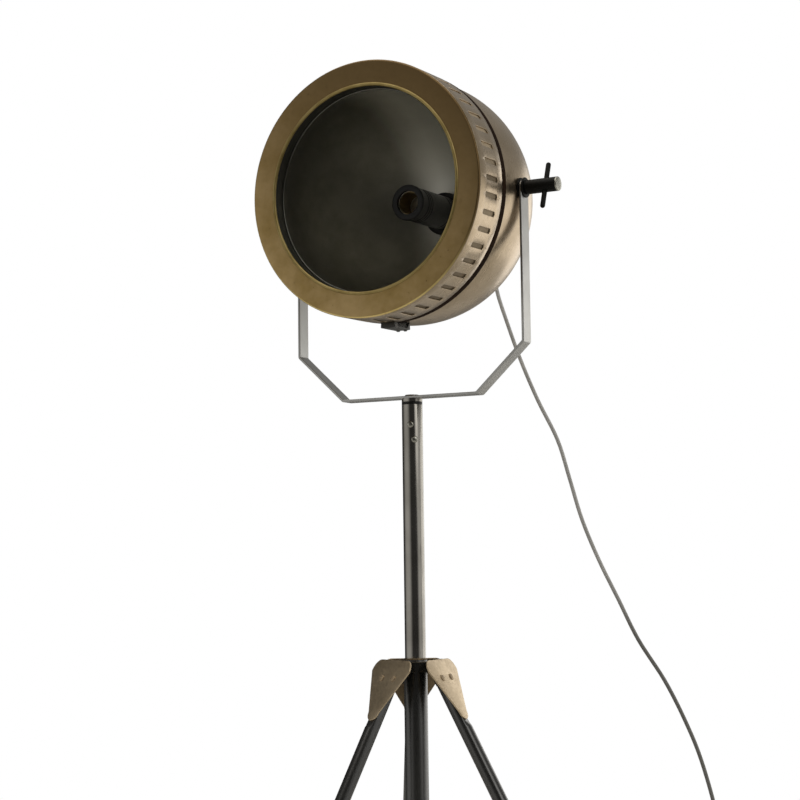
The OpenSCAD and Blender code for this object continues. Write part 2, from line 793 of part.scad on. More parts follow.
// Face with a rolled lip inside and a skirt that goes into the band
module front_ring() {
    skirt_r = band_r - sheet - ring_fit;
    color(antique_brass) turned() {
        translate([opening_r + lip_r, ring_face]) square([ring_r - ring_edge_r - opening_r - lip_r, ring_t]);
        translate([ring_r - ring_edge_r, ring_face + ring_t / 2]) circle(ring_t / 2);
        translate([opening_r + lip_r, ring_face + lip_r / 3]) circle(lip_r);
        translate([skirt_r - sheet, ring_face + ring_t / 2]) square([sheet, skirt_len]);
    }
}

// The dark ring on which the shell and the band seat, which shows between them
module seam_ring() {
    shell_seat = shell_r - sheet - ring_fit;
    band_seat = band_r - sheet - ring_fit;
    color(soft_black) turned() {
        translate([shell_seat - 2 * sheet, -band_rear - seam_reach])
            square([2 * sheet, band_rear - shell_front + 2 * seam_reach]);
        translate([shell_seat - sheet, -band_rear - seam_reach])
            square([band_seat - shell_seat + sheet, seam_reach]);
        translate([shell_seat - sheet, -band_rear + face_gap])
            square([band_r - seam_step - shell_seat + sheet, band_rear - shell_front - 2 * face_gap]);
    }
}

// A plain drum behind the vent slots, held between the front ring and the seam ring
module vent_liner() {
    liner_r = band_r - sheet - liner_gap;
    color(bronze) ring_on_axis(liner_r, liner_r - sheet, ring_face + ring_t / 2 + skirt_len + seat_fit,
        -band_rear - seam_reach - seat_fit);
}

module inner_sleeve() {
    color(soft_black) turned() {
        translate([sleeve_r, sleeve_front]) square([sleeve_t, sleeve_len]);
        translate([sleeve_r, sleeve_front]) square([5 * sleeve_t, sleeve_t]);
    }
}

module reflector() {
    color(soft_black) turned() {
        difference() {
            intersection() {
                translate([0, reflector_mid]) circle(reflector_r + reflector_t);
                translate([reflector_hole_r, reflector_front])
                    square([2 * reflector_r, reflector_rear - reflector_front]);
            }
            translate([0, reflector_mid]) circle(reflector_r);
        }
        translate([sleeve_r, reflector_front]) square([4 * reflector_t, reflector_t]);
    }
}

// Profile of the keeper clip: a bridge over the seam with a foot on the band and a foot on the shell
module clip_profile() {
    foot_w = 5 * clip_t;
    band_foot = band_r + 2 * seat_fit;
    shell_foot = shell_r + 2 * seat_fit;
    translate([band_foot, clip_front]) square([clip_out - band_foot, foot_w]);
    translate([shell_foot, clip_rear - foot_w]) square([clip_out - shell_foot, foot_w]);
    translate([clip_out - clip_t, clip_front]) square([clip_t, clip_rear - clip_front]);
}

// Turned about the head's axis to the bottom of the drum
module at_clip() {
    head_frame() rotate([-90, 0, 0]) rotate([0, 0, 90]) children();
}

module seam_clip() {
    color(soft_black) difference() {
        at_clip() rotate([0, 0, -clip_arc / 2]) rotate_extrude(angle = clip_arc) clip_profile();
        clip_screw_places() cylinder(d = clip_screw_d + 2 * seat_fit, h = 4 * clip_proud, center = true);
    }
}

// Places of the clip's two screws in its rear foot: z outwards, on the clip's outer face
module clip_screw_places() {
    for (k = [-1, 1]) at_clip() rotate([0, 0, k * clip_arc / 4])
        translate([clip_out, 0, clip_rear - 2.5 * clip_t]) rotate([0, 90, 0]) children();
}

module clip_screws() {
    color(steel) clip_screw_places()
        screw(clip_screw_d, clip_proud - 1, clip_screw_head_d, clip_screw_head_h);
}

// Lamp holder
module holder_base() {
    color(soft_black) difference() {
        on_axis(holder_collar_d / 2, collar_front, holder_rear);
        on_axis(holder_r - holder_wall, collar_front - through, holder_rear - 8);
        on_axis(nipple_d / 2 + seat_fit, 0, holder_rear + through);
    }
}

module holder_body() {
    color(soft_black) ring_on_axis(holder_r, holder_r - holder_wall, holder_lip - holder_front, collar_front);
}

module holder_ring() {
    ring_step = 1;
    color(soft_black) ring_on_axis(holder_r + ring_step, socket_bore / 2 + ring_step, -holder_front,
        holder_lip - holder_front);
}

module holder_insulator() {
    insulator_r = holder_r - holder_wall - seat_fit;
    color("#d8d4c8") difference() {
        on_axis(insulator_r, thread_front, thread_rear + insulator_t);
        on_axis(socket_bore / 2 + thread_t + seat_fit, thread_front - through, thread_rear);
        on_axis(lead_bore / 2, thread_rear + contact_h, thread_rear + insulator_t + through);
    }
}

module holder_thread() {
    color(brass) ring_on_axis(socket_bore / 2 + thread_t, socket_bore / 2, thread_front, thread_end);
}

module holder_contact() {
    color(brass) on_axis(contact_d / 2, thread_rear - contact_h, thread_rear);
}

module nipple() {
    color(brass) ring_on_axis(nipple_d / 2, lead_bore / 2, nipple_front, nipple_rear);
}

module nipple_nut() {
    nut_rear = sqrt(pow(shell_r - sheet, 2) - pow(nut_d / 2, 2)) - seat_fit;
    color(steel) ring_on_axis(nut_d / 2, nipple_d / 2 + seat_fit, nut_rear - nut_h, nut_rear);
}

module inner_lead() {
    color(cord_grey) on_axis(cord_d / 2, thread_rear + contact_h, gland_rear);
}

// A tapered strain relief that seats on the back of the shell
module cord_gland() {
    cone_front = shell_r + gland_base_h - gland_seat;
    color(soft_black) difference() {
        union() {
            on_axis(gland_base_d / 2, shell_r - gland_seat, shell_r + gland_base_h);
            head_frame() rotate([-90, 0, 0]) translate([0, 0, cone_front])
                cylinder(d1 = gland_cone_d, d2 = gland_tip_d, h = gland_rear - cone_front);
        }
        head_frame() sphere(r = shell_r + seat_fit);
        on_axis(nipple_d / 2 + seat_fit, 0, nipple_rear);
        on_axis(cord_d / 2 + seat_fit, 0, gland_rear + through);
    }
}

// Pivots. The shell's solid form, grown by a gap, for pieces that seat on it
module shell_form(grow) {
    turned() cup_profile(shell_r + grow, shell_front);
}

module pivot_spacer(side) {
    inside = shell_r - 3;
    color(soft_black) difference() {
        on_pivot(spacer_d / 2, side > 0 ? inside : -arm_x + face_gap, side > 0 ? arm_x - face_gap : -inside);
        shell_form(face_gap);
        on_pivot(pivot_r + run_fit, -arm_x, arm_x);
    }
}

module pivot_spacer_right() { pivot_spacer(1); }
module pivot_spacer_left() { pivot_spacer(-1); }

module pivot_nut(side) {
    color(steel) difference() {
        intersection() {
            on_pivot(pivot_nut_d / 2, side > 0 ? shell_r - nut_reach : -shell_r,
                side > 0 ? shell_r : nut_reach - shell_r);
            shell_form(-sheet - face_gap);
        }
        on_pivot(pivot_r + run_fit, -shell_r, shell_r);
    }
}

module pivot_nut_right() { pivot_nut(1); }
module pivot_nut_left() { pivot_nut(-1); }

// The left pivot: a bolt with a domed head outside the arm
module pivot_bolt() {
    head_r = cap_nut_d / 2;
    color(steel) {
        on_pivot(pivot_r, -arm_out - face_gap, -shell_r + nut_reach);
        on_pivot(head_r, -arm_out - face_gap - cap_nut_h / 2, -arm_out - face_gap);
        translate([-arm_out - face_gap - cap_nut_h / 2, 0, pivot_z]) rotate([0, -90, 0])
            cylinder(r1 = head_r, r2 = head_r * 0.5, h = cap_nut_h / 2);
    }
}

// Tilt handle. The cross bar's frame: z along the bar
module bar_frame() {
    translate([bar_reach, 0, pivot_z]) rotate([-bar_turn, 0, 0]) children();
}

module handle_rod() {
    color(gloss_black) difference() {
        union() {
            on_pivot(rod_d / 2, rod_front + handle_washer_t, rod_reach - cap_t);
            on_pivot(pivot_r, shell_r - nut_reach, rod_front + 2 * handle_washer_t);
        }
        bar_frame() cylinder(d = bar_d + 2 * seat_fit, h = 2 * rod_d, center = true);
    }
}

module handle_bar() {
    color(gloss_black) bar_frame() {
        cylinder(d = bar_d, h = bar_len - bar_d, center = true);
        for (s = [-1, 1]) translate([0, 0, s * (bar_len - bar_d) / 2]) sphere(d = bar_d);
    }
}

module handle_cap() {
    color(steel) on_pivot(rod_d / 2, rod_reach - cap_t, rod_reach);
}

module handle_washer() {
    color(soft_black) difference() {
        on_pivot(spacer_d / 2, rod_front, rod_front + handle_washer_t);
        on_pivot(pivot_r + seat_fit, 0, rod_reach);
    }
}

// Cord
module cord_drop() {
    color(cord_grey) swept_tube(drop_line, cord_d / 2, drop_sides);
}

module cord_coil() {
    color(cord_grey) swept_tube(coil_line, cord_d / 2, coil_sides);
}

// A strap round all the turns
module coil_tie() {
    turn_in = coil_r - coil_pitch * coil_turns - cord_d / 2 - tie_room;
    turn_out = coil_r + cord_d / 2 + tie_room;
    height = coil_layer + cord_d + 2 * 0.4;
    color(soft_black) translate([coil_mid[0], coil_mid[1], tie_t]) rotate([0, 0, tie_angle])
        translate([(turn_in + turn_out) / 2, 0, height / 2]) difference() {
            cube([turn_out - turn_in + 2 * tie_t, tie_w, height + 2 * tie_t], center = true);
            cube([turn_out - turn_in, tie_w + 2 * through, height], center = true);
        }
}

// Foot switch: a base, a cover with a hole, and a button that goes down
switch_split = 10;
switch_corner = 12;
switch_wall = 2.5;
button_flange = 2;
button_travel = 3;

module at_switch() {
    translate([switch_x, switch_y, 0]) children();
}

module switch_base() {
    color(soft_black) at_switch() difference() {
        rounded_slab(switch_w, switch_len, switch_corner, 0, switch_split);
        rounded_slab(button_d + 6, button_d + 6, 5, switch_wall, switch_split + through);
    }
}

module switch_cover() {
    inner_top = switch_h - switch_wall;
    color(soft_black) at_switch() difference() {
        rounded_slab(switch_w, switch_len, switch_corner, switch_split, switch_h);
        rounded_slab(button_d + 6, button_d + 6, 5, switch_split - through, inner_top);
        cylinder(d = button_d + 0.6, h = switch_h + through);
    }
}

module switch_button() {
    flange_top = switch_h - switch_wall - face_gap;
    flange_low = flange_top - button_flange;
    stem_low = switch_wall + button_travel + 1;
    color("#2a2a2a") at_switch() {
        translate([0, 0, flange_low]) cylinder(d = button_d + 4, h = button_flange);
        translate([0, 0, flange_low]) cylinder(d = button_d, h = switch_h + button_proud - flange_low);
        translate([0, 0, stem_low]) cylinder(d = button_d / 2, h = flange_top - stem_low);
    }
}

// A flat two-pin plug that lies beside the coil
module plug_body() {
    neck = 10;
    color(soft_black) translate([plug_mid_x, plug_y, 0]) {
        translate([0, neck + (plug_len - neck) / 2, 0]) rounded_slab(plug_w, plug_len - neck, 7, 0, plug_h);
        translate([0, 0, cord_rise]) rotate([-90, 0, 0])
            cylinder(d1 = cord_d + 4, d2 = plug_h - 3, h = neck + 1);
    }
}

module plug_pins() {
    color(steel) for (s = [-1, 1])
        translate([plug_mid_x + s * pin_pitch / 2, plug_y + plug_len, cord_rise]) rotate([-90, 0, 0])
            cylinder(d = pin_d, h = pin_len);
}

leg_right();
leg_rear();
leg_left();
foot_right();
foot_rear();
foot_left();
hub_core();
hub_plate_right();
hub_plate_rear();
hub_plate_left();
hub_screws();
column();
column_bush();
column_end_cap();
lift_knob();
mast_tube();
mast_glide();
mast_bush();
pan_lock_screws();
yoke_strip();
yoke_spigot();
yoke_bolt();
rear_shell();
front_band();
front_ring();
seam_ring();
vent_liner();
inner_sleeve();
reflector();
seam_clip();
clip_screws();
holder_base();
holder_body();
holder_ring();
holder_insulator();
holder_thread();
holder_contact();
nipple();
nipple_nut();
inner_lead();
cord_gland();
pivot_spacer_right();
pivot_spacer_left();
pivot_nut_right();
pivot_nut_left();
pivot_bolt();
handle_rod();
handle_bar();
handle_cap();
handle_washer();
cord_drop();
cord_coil();
coil_tie();
switch_base();
switch_cover();
switch_button();
plug_body();
plug_pins();
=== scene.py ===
"""A tripod searchlight floor lamp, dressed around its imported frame.

Metres, +Z up. The origin is on the floor under the mast, and the lamp faces -Y. Sizes in the classes below
are in millimetres, as on a drawing, and the helpers turn them into metres.
"""
import logging
import math
from dataclasses import dataclass
from enum import Enum
from typing import Any, Callable, Optional, Sequence, Union

import bmesh
import bpy
from mathutils import Matrix, Vector


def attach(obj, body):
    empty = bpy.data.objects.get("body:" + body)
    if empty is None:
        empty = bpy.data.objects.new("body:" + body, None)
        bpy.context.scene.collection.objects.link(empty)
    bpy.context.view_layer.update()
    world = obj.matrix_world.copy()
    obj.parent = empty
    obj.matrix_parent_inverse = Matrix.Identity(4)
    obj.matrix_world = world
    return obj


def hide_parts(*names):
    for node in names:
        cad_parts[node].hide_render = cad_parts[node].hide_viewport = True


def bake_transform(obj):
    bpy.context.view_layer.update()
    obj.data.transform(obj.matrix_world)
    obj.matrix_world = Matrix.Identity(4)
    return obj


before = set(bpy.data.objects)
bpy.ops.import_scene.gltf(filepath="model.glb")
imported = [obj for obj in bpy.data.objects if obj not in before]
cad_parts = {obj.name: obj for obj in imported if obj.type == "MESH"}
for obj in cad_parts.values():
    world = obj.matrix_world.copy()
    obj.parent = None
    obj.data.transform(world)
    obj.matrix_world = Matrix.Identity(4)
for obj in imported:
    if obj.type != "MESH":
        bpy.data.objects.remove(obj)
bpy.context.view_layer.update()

LOG = logging.getLogger("floor_lamp")
MM = 0.001
# Facets round turned pieces, from the drum down to pins.
DRUM_STEPS = 192
TUBE_STEPS = 96
LEG_STEPS = 64
SMALL_STEPS = 48
ROD_STEPS = 32
PIN_STEPS = 24
SHARP_ANGLE = math.radians(38)
# Corners closer than this are one, and a radius under it is on the axis.
SAME_SPOT = 1e-6
COPY_SEAM = 1e-5
# Play between pieces that fit into each other, in millimetres.
PLAY = 0.05
# Sizes that several sub-assemblies share, in millimetres and degrees.
PIVOT_Z = 1242.0
HUB_Z = 687.0
NOD = 0.8
DRUM_DROP = 2.0

Pair = tuple[float, float]
Triple = tuple[float, float, float]
Line = list[Pair]
Piece = bpy.types.Object


class Body(Enum):
    """The rigid bodies that pieces ride on."""

    STAND = "stand"
    KNOB = "lift_knob"
    MAST = "mast"
    YOKE = "yoke"
    HEAD = "head"
    HANDLE = "tilt_handle"
    BUTTON = "switch_button"


class Slot(Enum):
    """The record's material slots."""

    ENAMEL = "black_enamel"
    BRASS = "antique_brass"
    BRONZE = "bronze_paint"
    DARK_NICKEL = "black_nickel"
    NICKEL = "nickel"
    STEEL = "steel"
    SATIN = "satin_black"
    PLASTIC = "black_plastic"
    RUBBER = "rubber"
    CORD = "cord_jacket"


# Finishes


def linear(code: str) -> tuple[float, float, float, float]:
    """Turns an sRGB hex colour to linear light.

    Args:
        code: six hex digits after a hash sign.

    Returns:
        Red, green, blue and alpha.
    """
    parts = [int(code[i:i + 2], 16) / 255 for i in (1, 3, 5)]
    light = [c / 12.92 if c <= 0.04045 else ((c + 0.055) / 1.055) ** 2.4 for c in parts]
    return light[0], light[1], light[2], 1.0


def add_node(tree: bpy.types.NodeTree, kind: str, inputs: Optional[dict] = None,
             **settings: Any) -> bpy.types.Node:
    """Adds a node with its settings, values and links.

    Args:
        tree: the tree that gets the node.
        kind: the node's type.
        inputs: values or output sockets, by the input's name or place.
        **settings: the node's own properties.

    Returns:
        The new node.
    """
    node = tree.nodes.new(kind)
    for key, value in settings.items():
        setattr(node, key, value)
    for key, value in (inputs or {}).items():
        if isinstance(value, bpy.types.NodeSocket):
            tree.links.new(value, node.inputs[key])
        else:
            node.inputs[key].default_value = value
    return node


def per_metre(size_mm: float) -> float:
    """The scale of a texture whose features are size_mm across."""
    return 1 / (size_mm * MM)


# Detail of the noises: broad clouds, fine specks, and the grain of the relief.
CLOUD = {"Detail": 4.0, "Roughness": 0.6}
FINE = {"Detail": 3.0, "Roughness": 0.55}
GRAIN = {"Detail": 2.0, "Roughness": 0.5}
# Where in its noise a patch begins and is full, and where wear does.
PATCH_RANGE = (0.42, 0.66)
WEAR_RANGE = (0.3, 0.7)
SPECK_WEIGHT = 0.8
PLAIN_FINE_MM = 2.0


@dataclass(frozen=True)
class Speck:
    """Fine specks: colour, size in millimetres, and where in their noise they begin and are full."""

    colour: str
    size_mm: float
    low: float = 0.62
    high: float = 0.74


@dataclass(frozen=True)
class Fade:
    """A colour that a finish goes over to, from one place to another in millimetres."""

    colour: str
    start: Triple
    end: Triple


@dataclass(frozen=True)
class Finish:
    """A surface finish: two close colours in cloudy patches, specks, a fade, and a fine relief.

    The stretch draws the specks and the relief out along an axis, as drawing, brushing or rolling does. The
    relief is the height of the grain and its width, in millimetres.
    """

    name: str
    colour: str
    shade: str
    metallic: float
    roughness: float
    patch_mm: float = 40.0
    speck: Optional[Speck] = None
    stretch: Triple = (1.0, 1.0, 1.0)
    rough_spread: float = 0.06
    relief: Optional[Pair] = None
    coat: float = 0.0
    coat_roughness: float = 0.1
    specular: float = 0.5
    fade: Optional[Fade] = None

    def material(self) -> bpy.types.Material:
        """Returns the finish's material, made the first time that it is asked for."""
        found = bpy.data.materials.get(self.name)
        if found:
            return found
        made = bpy.data.materials.new(self.name)
        made.use_nodes = True
        shader = made.node_tree.nodes["Principled BSDF"]
        for socket, value in (("Metallic", self.metallic), ("Specular IOR Level", self.specular),
                              ("Coat Weight", self.coat), ("Coat Roughness", self.coat_roughness)):
            shader.inputs[socket].default_value = value
        self.link(made.node_tree, shader)
        return made

    def link(self, tree: bpy.types.NodeTree, shader: bpy.types.Node) -> None:
        """Links the colour, roughness and relief to the shader.

        Args:
            tree: the material's nodes.
            shader: its Principled BSDF.
        """
        place = add_node(tree, "ShaderNodeTexCoord").outputs["Object"]
        drawn = add_node(tree, "ShaderNodeMapping", {
            "Vector": place, "Scale": self.stretch}).outputs["Vector"]
        cloud = add_node(tree, "ShaderNodeTexNoise", {
            "Vector": place, "Scale": per_metre(self.patch_mm), **CLOUD}).outputs["Fac"]
        fine_mm = self.speck.size_mm if self.speck else PLAIN_FINE_MM
        fine = add_node(tree, "ShaderNodeTexNoise", {
            "Vector": drawn, "Scale": per_metre(fine_mm), **FINE}).outputs["Fac"]
        patch = add_node(tree, "ShaderNodeMapRange", {
            "Value": cloud, "From Min": PATCH_RANGE[0], "From Max": PATCH_RANGE[1]})
        layers = [(patch, self.shade)]
        if self.speck:
            fleck = add_node(tree, "ShaderNodeMapRange", {
                "Value": fine, "From Min": self.speck.low, "From Max": self.speck.high,
                "To Max": SPECK_WEIGHT})
            layers.append((fleck, self.speck.colour))
        if self.fade:
            start, end = Vector(self.fade.start) * MM, Vector(self.fade.end) * MM
            way = end - start
            along = add_node(tree, "ShaderNodeVectorMath", {0: place, 1: way}, operation="DOT_PRODUCT")
            share = add_node(tree, "ShaderNodeMapRange", {
                "Value": along.outputs["Value"], "From Min": start.dot(way), "From Max": end.dot(way)},
                interpolation_type="SMOOTHSTEP")
            layers.append((share, self.fade.colour))
        colour: Any = linear(self.colour)
        for part, tint in layers:
            colour = add_node(tree, "ShaderNodeMix", {
                0: part.outputs["Result"], 6: colour, 7: linear(tint)}, data_type="RGBA").outputs[2]
        tree.links.new(colour, shader.inputs["Base Color"])
        worn = add_node(tree, "ShaderNodeMapRange", {
            "Value": fine, "From Min": WEAR_RANGE[0], "From Max": WEAR_RANGE[1],
            "To Min": self.roughness - self.rough_spread, "To Max": self.roughness + self.rough_spread})
        tree.links.new(worn.outputs["Result"], shader.inputs["Roughness"])
        if self.relief:
            height, width = self.relief
            grain = add_node(tree, "ShaderNodeTexNoise", {
                "Vector": drawn, "Scale": per_metre(width), **GRAIN})
            bump = add_node(tree, "ShaderNodeBump", {
                "Height": grain.outputs["Fac"], "Strength": 1.0, "Distance": height * MM})
            tree.links.new(bump.outputs["Normal"], shader.inputs["Normal"])


# Rubbed antique brass: a dull olive metal with dark patina specks, and painted shade that darkens it towards
# the upper right.
ANTIQUE_BRASS = Finish(
    "rubbed antique brass", "#b0976a", "#98804f", 1.0, 0.44, patch_mm=55.0,
    speck=Speck("#4a3a20", 6.0, 0.68, 0.8), relief=(0.04, 3.0),
    fade=Fade("#6a573a", (-80.0, -110.0, 1080.0), (75.0, -110.0, 1385.0)))
# The lip's brass is bare where hands rub it, so it is brighter.
LIP_BRASS = Finish(
    "worn brass lip", "#a39160", "#8c7a4c", 1.0, 0.42, patch_mm=30.0, rough_spread=0.08, relief=(0.03, 2.0))
# The ring's outer edge: a painted highlight of bright brass below, going over to the ring's painted shade
# above.
RIM_HIGHLIGHT_BRASS = Finish(
    "brass rim with painted highlight", "#f2dc96", "#e2ca84", 1.0, 0.4, patch_mm=30.0, relief=(0.03, 2.0),
    fade=Fade("#6a573a", (-80.0, -110.0, 1120.0), (20.0, -110.0, 1290.0)))
# The hub's brass plates: rolled sheet with a paler, rosier patina.
PLATE_BRASS = Finish(
    "patinated brass sheet", "#c6b498", "#b6a488", 1.0, 0.42, patch_mm=28.0,
    speck=Speck("#8f7f68", 4.0, 0.7, 0.84), relief=(0.04, 2.5))
# Painted shade: darker brass for the plates' inward faces and for the column's bush, which sit in the plates'
# shade.
SHADED_PLATE_BRASS = Finish("brass with painted shade", "#7a6b55", "#685a46", 1.0, 0.5, patch_mm=20.0, relief=(0.02, 2.5))
# Greyed bronze on spun sheet: a broad soft sheen, with faint turning lines round the drum.
SPUN_BRONZE = Finish(
    "greyed bronze on spun sheet", "#b09f87", "#9f8e75", 1.0, 0.3, patch_mm=60.0,
    speck=Speck("#82725c", 3.0, 0.68, 0.84), stretch=(0.25, 2.0, 0.25), rough_spread=0.05, relief=(0.02, 2.0))
# Dulled aluminium of the spun bowl: grey at the left, with painted light that makes it pale on the right.
DULL_ALUMINIUM = Finish(
    "dulled spun aluminium with painted light", "#87857b", "#7c7a70", 0.92, 0.45, speck=Speck("#727066", 3.0, 0.68, 0.84),
    rough_spread=0.05, relief=(0.02, 2.0), fade=Fade("#f6f4ea", (-52.0, 0.0, 1240.0), (3.0, 0.0, 1246.0)))
# Satin nickel on strip: pale, drawn along its length, and greyer up the left arm.
SATIN_NICKEL = Finish(
    "satin nickel strip", "#aeaeac", "#a0a09e", 1.0, 0.32, patch_mm=50.0, stretch=(0.3, 1.6, 0.3),
    rough_spread=0.03, relief=(0.003, 2.5),
    fade=Fade("#90908e", (-130.0, 0.0, 1050.0), (-180.0, 0.0, 1080.0)))
# Black nickel tube: a dark mirror that softens what it reflects.
BLACK_NICKEL = Finish(
    "black nickel tube", "#9d9a94", "#8c8983", 1.0, 0.15, patch_mm=60.0, speck=Speck("#76736c", 3.0),
    stretch=(1.0, 1.0, 0.12), rough_spread=0.04, relief=(0.004, 2.0))
# Zinc plated steel: bright, with a slight cloud.
ZINC = Finish(
    "zinc plated steel", "#a6a59c", "#918f86", 1.0, 0.28, patch_mm=8.0, speck=Speck("#7a776e", 1.5),
    relief=(0.02, 1.0))
# Black stove enamel on the stand's tubes: deep, with soft grey lights along edges and a faint orange peel.
BLACK_ENAMEL = Finish(
    "black stove enamel", "#0f0e0b", "#151410", 0.0, 0.32, patch_mm=45.0, rough_spread=0.03,
    relief=(0.008, 6.0), coat=0.4, coat_roughness=0.25, specular=1.0)
# Matt black enamel of the tilt handle, which hands have dulled.
MATT_ENAMEL = Finish(
    "matt black enamel", "#0c0c0a", "#12120f", 0.0, 0.5, patch_mm=30.0, relief=(0.008, 4.0), specular=0.15)
# Painted shadow: a dull brown-black bead that stands in for the shadowed gap between band and shell, as a
# dark line round the drum.
SEAM_SHADOW_BLACK = Finish(
    "brown-black seam bead with painted shadow", "#20140a", "#291a0e", 0.0, 0.8, patch_mm=30.0, relief=(0.02, 1.5),
    specular=0.04)
# The hub's block: black enamel, brown on top above 684.8 mm.
HUB_ENAMEL = Finish(
    "black enamel with brown top", "#0f0e0b", "#151410", 0.0, 0.35, patch_mm=45.0, relief=(0.008, 6.0),
    fade=Fade("#8a7d6a", (0.0, 0.0, 684.8), (0.0, 0.0, 684.9)))
# Dark steel of the sleeve's rolled edge: a thin grey line where it catches the light.
ROLLED_STEEL = Finish("dark rolled steel", "#6f6e68", "#63625c", 1.0, 0.34, patch_mm=20.0, relief=(0.01, 2.0))
# Browned screw heads that nearly vanish on their plates.
BROWNED_SCREW = Finish(
    "browned screw steel", "#b5a389", "#a08f76", 1.0, 0.6, patch_mm=3.0, relief=(0.01, 1.0))
# Painted shade on the bronze liner behind the slots: dark at the sides and below, with painted light above
# the pivot that brings it near the band's own tone.
SHADED_BRONZE = Finish(
    "shaded bronze liner", "#7d6f5a", "#6f624e", 1.0, 0.5, relief=(0.02, 2.0),
    fade=Fade("#c9b79b", (0.0, -82.0, 1236.0), (0.0, -82.0, 1290.0)))
# Satin black paint inside the drum: dark olive where light grazes it.
SATIN_BLACK = Finish(
    "satin black paint", "#1f1e19", "#2a2821", 0.0, 0.42, patch_mm=35.0,
    speck=Speck("#34322a", 2.5, 0.68, 0.84), relief=(0.03, 1.5))
# Black phenolic of the lamp holder and the cord's fittings: a faint mould grain and little gloss.
PHENOLIC = Finish(
    "black phenolic moulding", "#0f0f0d", "#161613", 0.0, 0.42, patch_mm=18.0, relief=(0.03, 0.8),
    specular=0.3)
# Rubber of the feet: matt, with a dusty bloom.
RUBBER = Finish(
    "black rubber", "#1b1b1a", "#2b2a28", 0.0, 0.78, patch_mm=14.0, speck=Speck("#3a3936", 1.5),
    relief=(0.06, 0.8))
# The cord's grey PVC jacket, with painted shade that darkens its lower half.
JACKET = Finish(
    "grey PVC cord jacket", "#b9b8b5", "#abaaa7", 0.0, 0.5, patch_mm=30.0, speck=Speck("#c6c5c2", 1.2),
    relief=(0.03, 0.8), fade=Fade("#74736f", (0.0, 0.0, 790.0), (0.0, 0.0, 690.0)))
# Drawn brass of the nipple: bright and yellow.
DRAWN_BRASS = Finish("drawn brass", "#c9a85e", "#b08f48", 1.0, 0.3, patch_mm=10.0, relief=(0.02, 1.0))
# Browned brass of the lamp socket's thread: a dull glint in the holder.
DARK_BRASS = Finish(
    "browned socket brass", "#a08d66", "#8a7854", 1.0, 0.42, patch_mm=10.0, relief=(0.02, 1.0))
# Off-white fired steatite of the socket's insulator: chalky, with a slight cloud.
STEATITE = Finish(
    "off-white fired steatite", "#d2cdc0", "#c4beb0", 0.0, 0.4, patch_mm=8.0, relief=(0.03, 0.7))
# Pale matt paint of the studio's floor.
PALE_FLOOR = Finish("pale floor", "#f2f1ee", "#efeeea", 0.0, 0.8, patch_mm=400.0)


# Lines and profiles


def arc(mid: Pair, radius: float, start: float, end: float, steps: int, rise: Optional[float] = None) -> Line:
    """Points of an arc.

    Args:
        mid: its middle.
        radius: its radius.
        start: its first angle in degrees.
        end: its last angle in degrees.
        steps: straight pieces in it.
        rise: the upright radius, where it is part of an ellipse.

    Returns:
        The points, both ends among them.
    """
    tall = radius if rise is None else rise
    turns = [math.radians(start + (end - start) * i / steps) for i in range(steps + 1)]
    return [(mid[0] + radius * math.cos(a), mid[1] + tall * math.sin(a)) for a in turns]


def circle(radius: float, steps: int = SMALL_STEPS, mid: Pair = (0.0, 0.0)) -> Line:
    """The outline of a circle."""
    return arc(mid, radius, 0.0, 360.0, steps)[:-1]


def rounded(points: Sequence[Pair], radius: Union[float, Sequence[float]], steps: int = 5) -> Line:
    """Rounds the corners of a closed outline.

    Args:
        points: the corners, in order.
        radius: one radius for all corners, or one for each.
        steps: straight pieces in each round.

    Returns:
        The outline with an arc at each corner whose radius isn't nought.
    """
    most = 0.49
    count = len(points)
    radii = [radius] * count if isinstance(radius, (int, float)) else list(radius)
    outline: Line = []
    for i, r in enumerate(radii):
        here = Vector(points[i])
        back = Vector(points[i - 1]) - here
        on = Vector(points[(i + 1) % count]) - here
        if r <= 0:
            outline.append(points[i])
            continue
        half = back.angle(on) / 2
        reach = min(r / math.tan(half), most * back.length, most * on.length)
        r = reach * math.tan(half)
        a, b = here + back.normalized() * reach, here + on.normalized() * reach
        middle = here + (back.normalized() + on.normalized()).normalized() * (r / math.sin(half))
        first, sweep = a - middle, (a - middle).angle_signed(b - middle)
        for k in range(steps + 1):
            spoke = first.copy()
            spoke.rotate(Matrix.Rotation(-sweep * k / steps, 2))
            outline.append(tuple(middle + spoke))
    return outline


def rounded_box(width: float, length: float, radius: float) -> Line:
    """The outline of a rectangle with round corners, about the origin."""
    x, y = width / 2, length / 2
    return rounded([(x, -y), (x, y), (-x, y), (-x, -y)], radius, 8)


def block(inner: float, outer: float, low: float, high: float) -> Line:
    """The profile of a plain ring, tube or rod."""
    return [(inner, low), (outer, low), (outer, high), (inner, high)]


def groove(radius: float, mid: float, half: float, depth: float) -> Line:
    """The profile of one groove in a turned side, from its lower edge to its upper edge."""
    return [(radius, mid - half), (radius - depth, mid - half / 2), (radius - depth, mid + half / 2),
            (radius, mid + half)]


def ribbed(first: Pair, last: Pair, count: int, steps: Sequence[Pair]) -> Line:
    """The profile of a cone's side with grooves round it.

    Args:
        first: radius and height where the cone starts.
        last: radius and height where it ends.
        count: how many grooves.
        steps: for one groove, places in its share of the cone and the depth at each.

    Returns:
        The side's points.
    """
    side: Line = []
    for k in range(count):
        for part, depth in steps:
            share = (k + part) / count
            side.append((first[0] + (last[0] - first[0]) * share - depth,
                         first[1] + (last[1] - first[1]) * share))
    return side


def domed_screw(tip: float, seat: float, edge: float, height: float, radius: float, shank: float) -> Line:
    """The profile of a screw with a domed head.

    Args:
        tip: where the shank ends below.
        seat: where the head sits.
        edge: the height of the head's upright edge.
        height: the whole head's height.
        radius: the head's radius.
        shank: the shank's radius.

    Returns:
        The profile.
    """
    dome = arc((0.0, seat + edge), radius, 0, 90, 6, height - edge)
    return [(0.0, tip), (shank, tip), (shank, seat), (radius, seat)] + dome


# Meshes


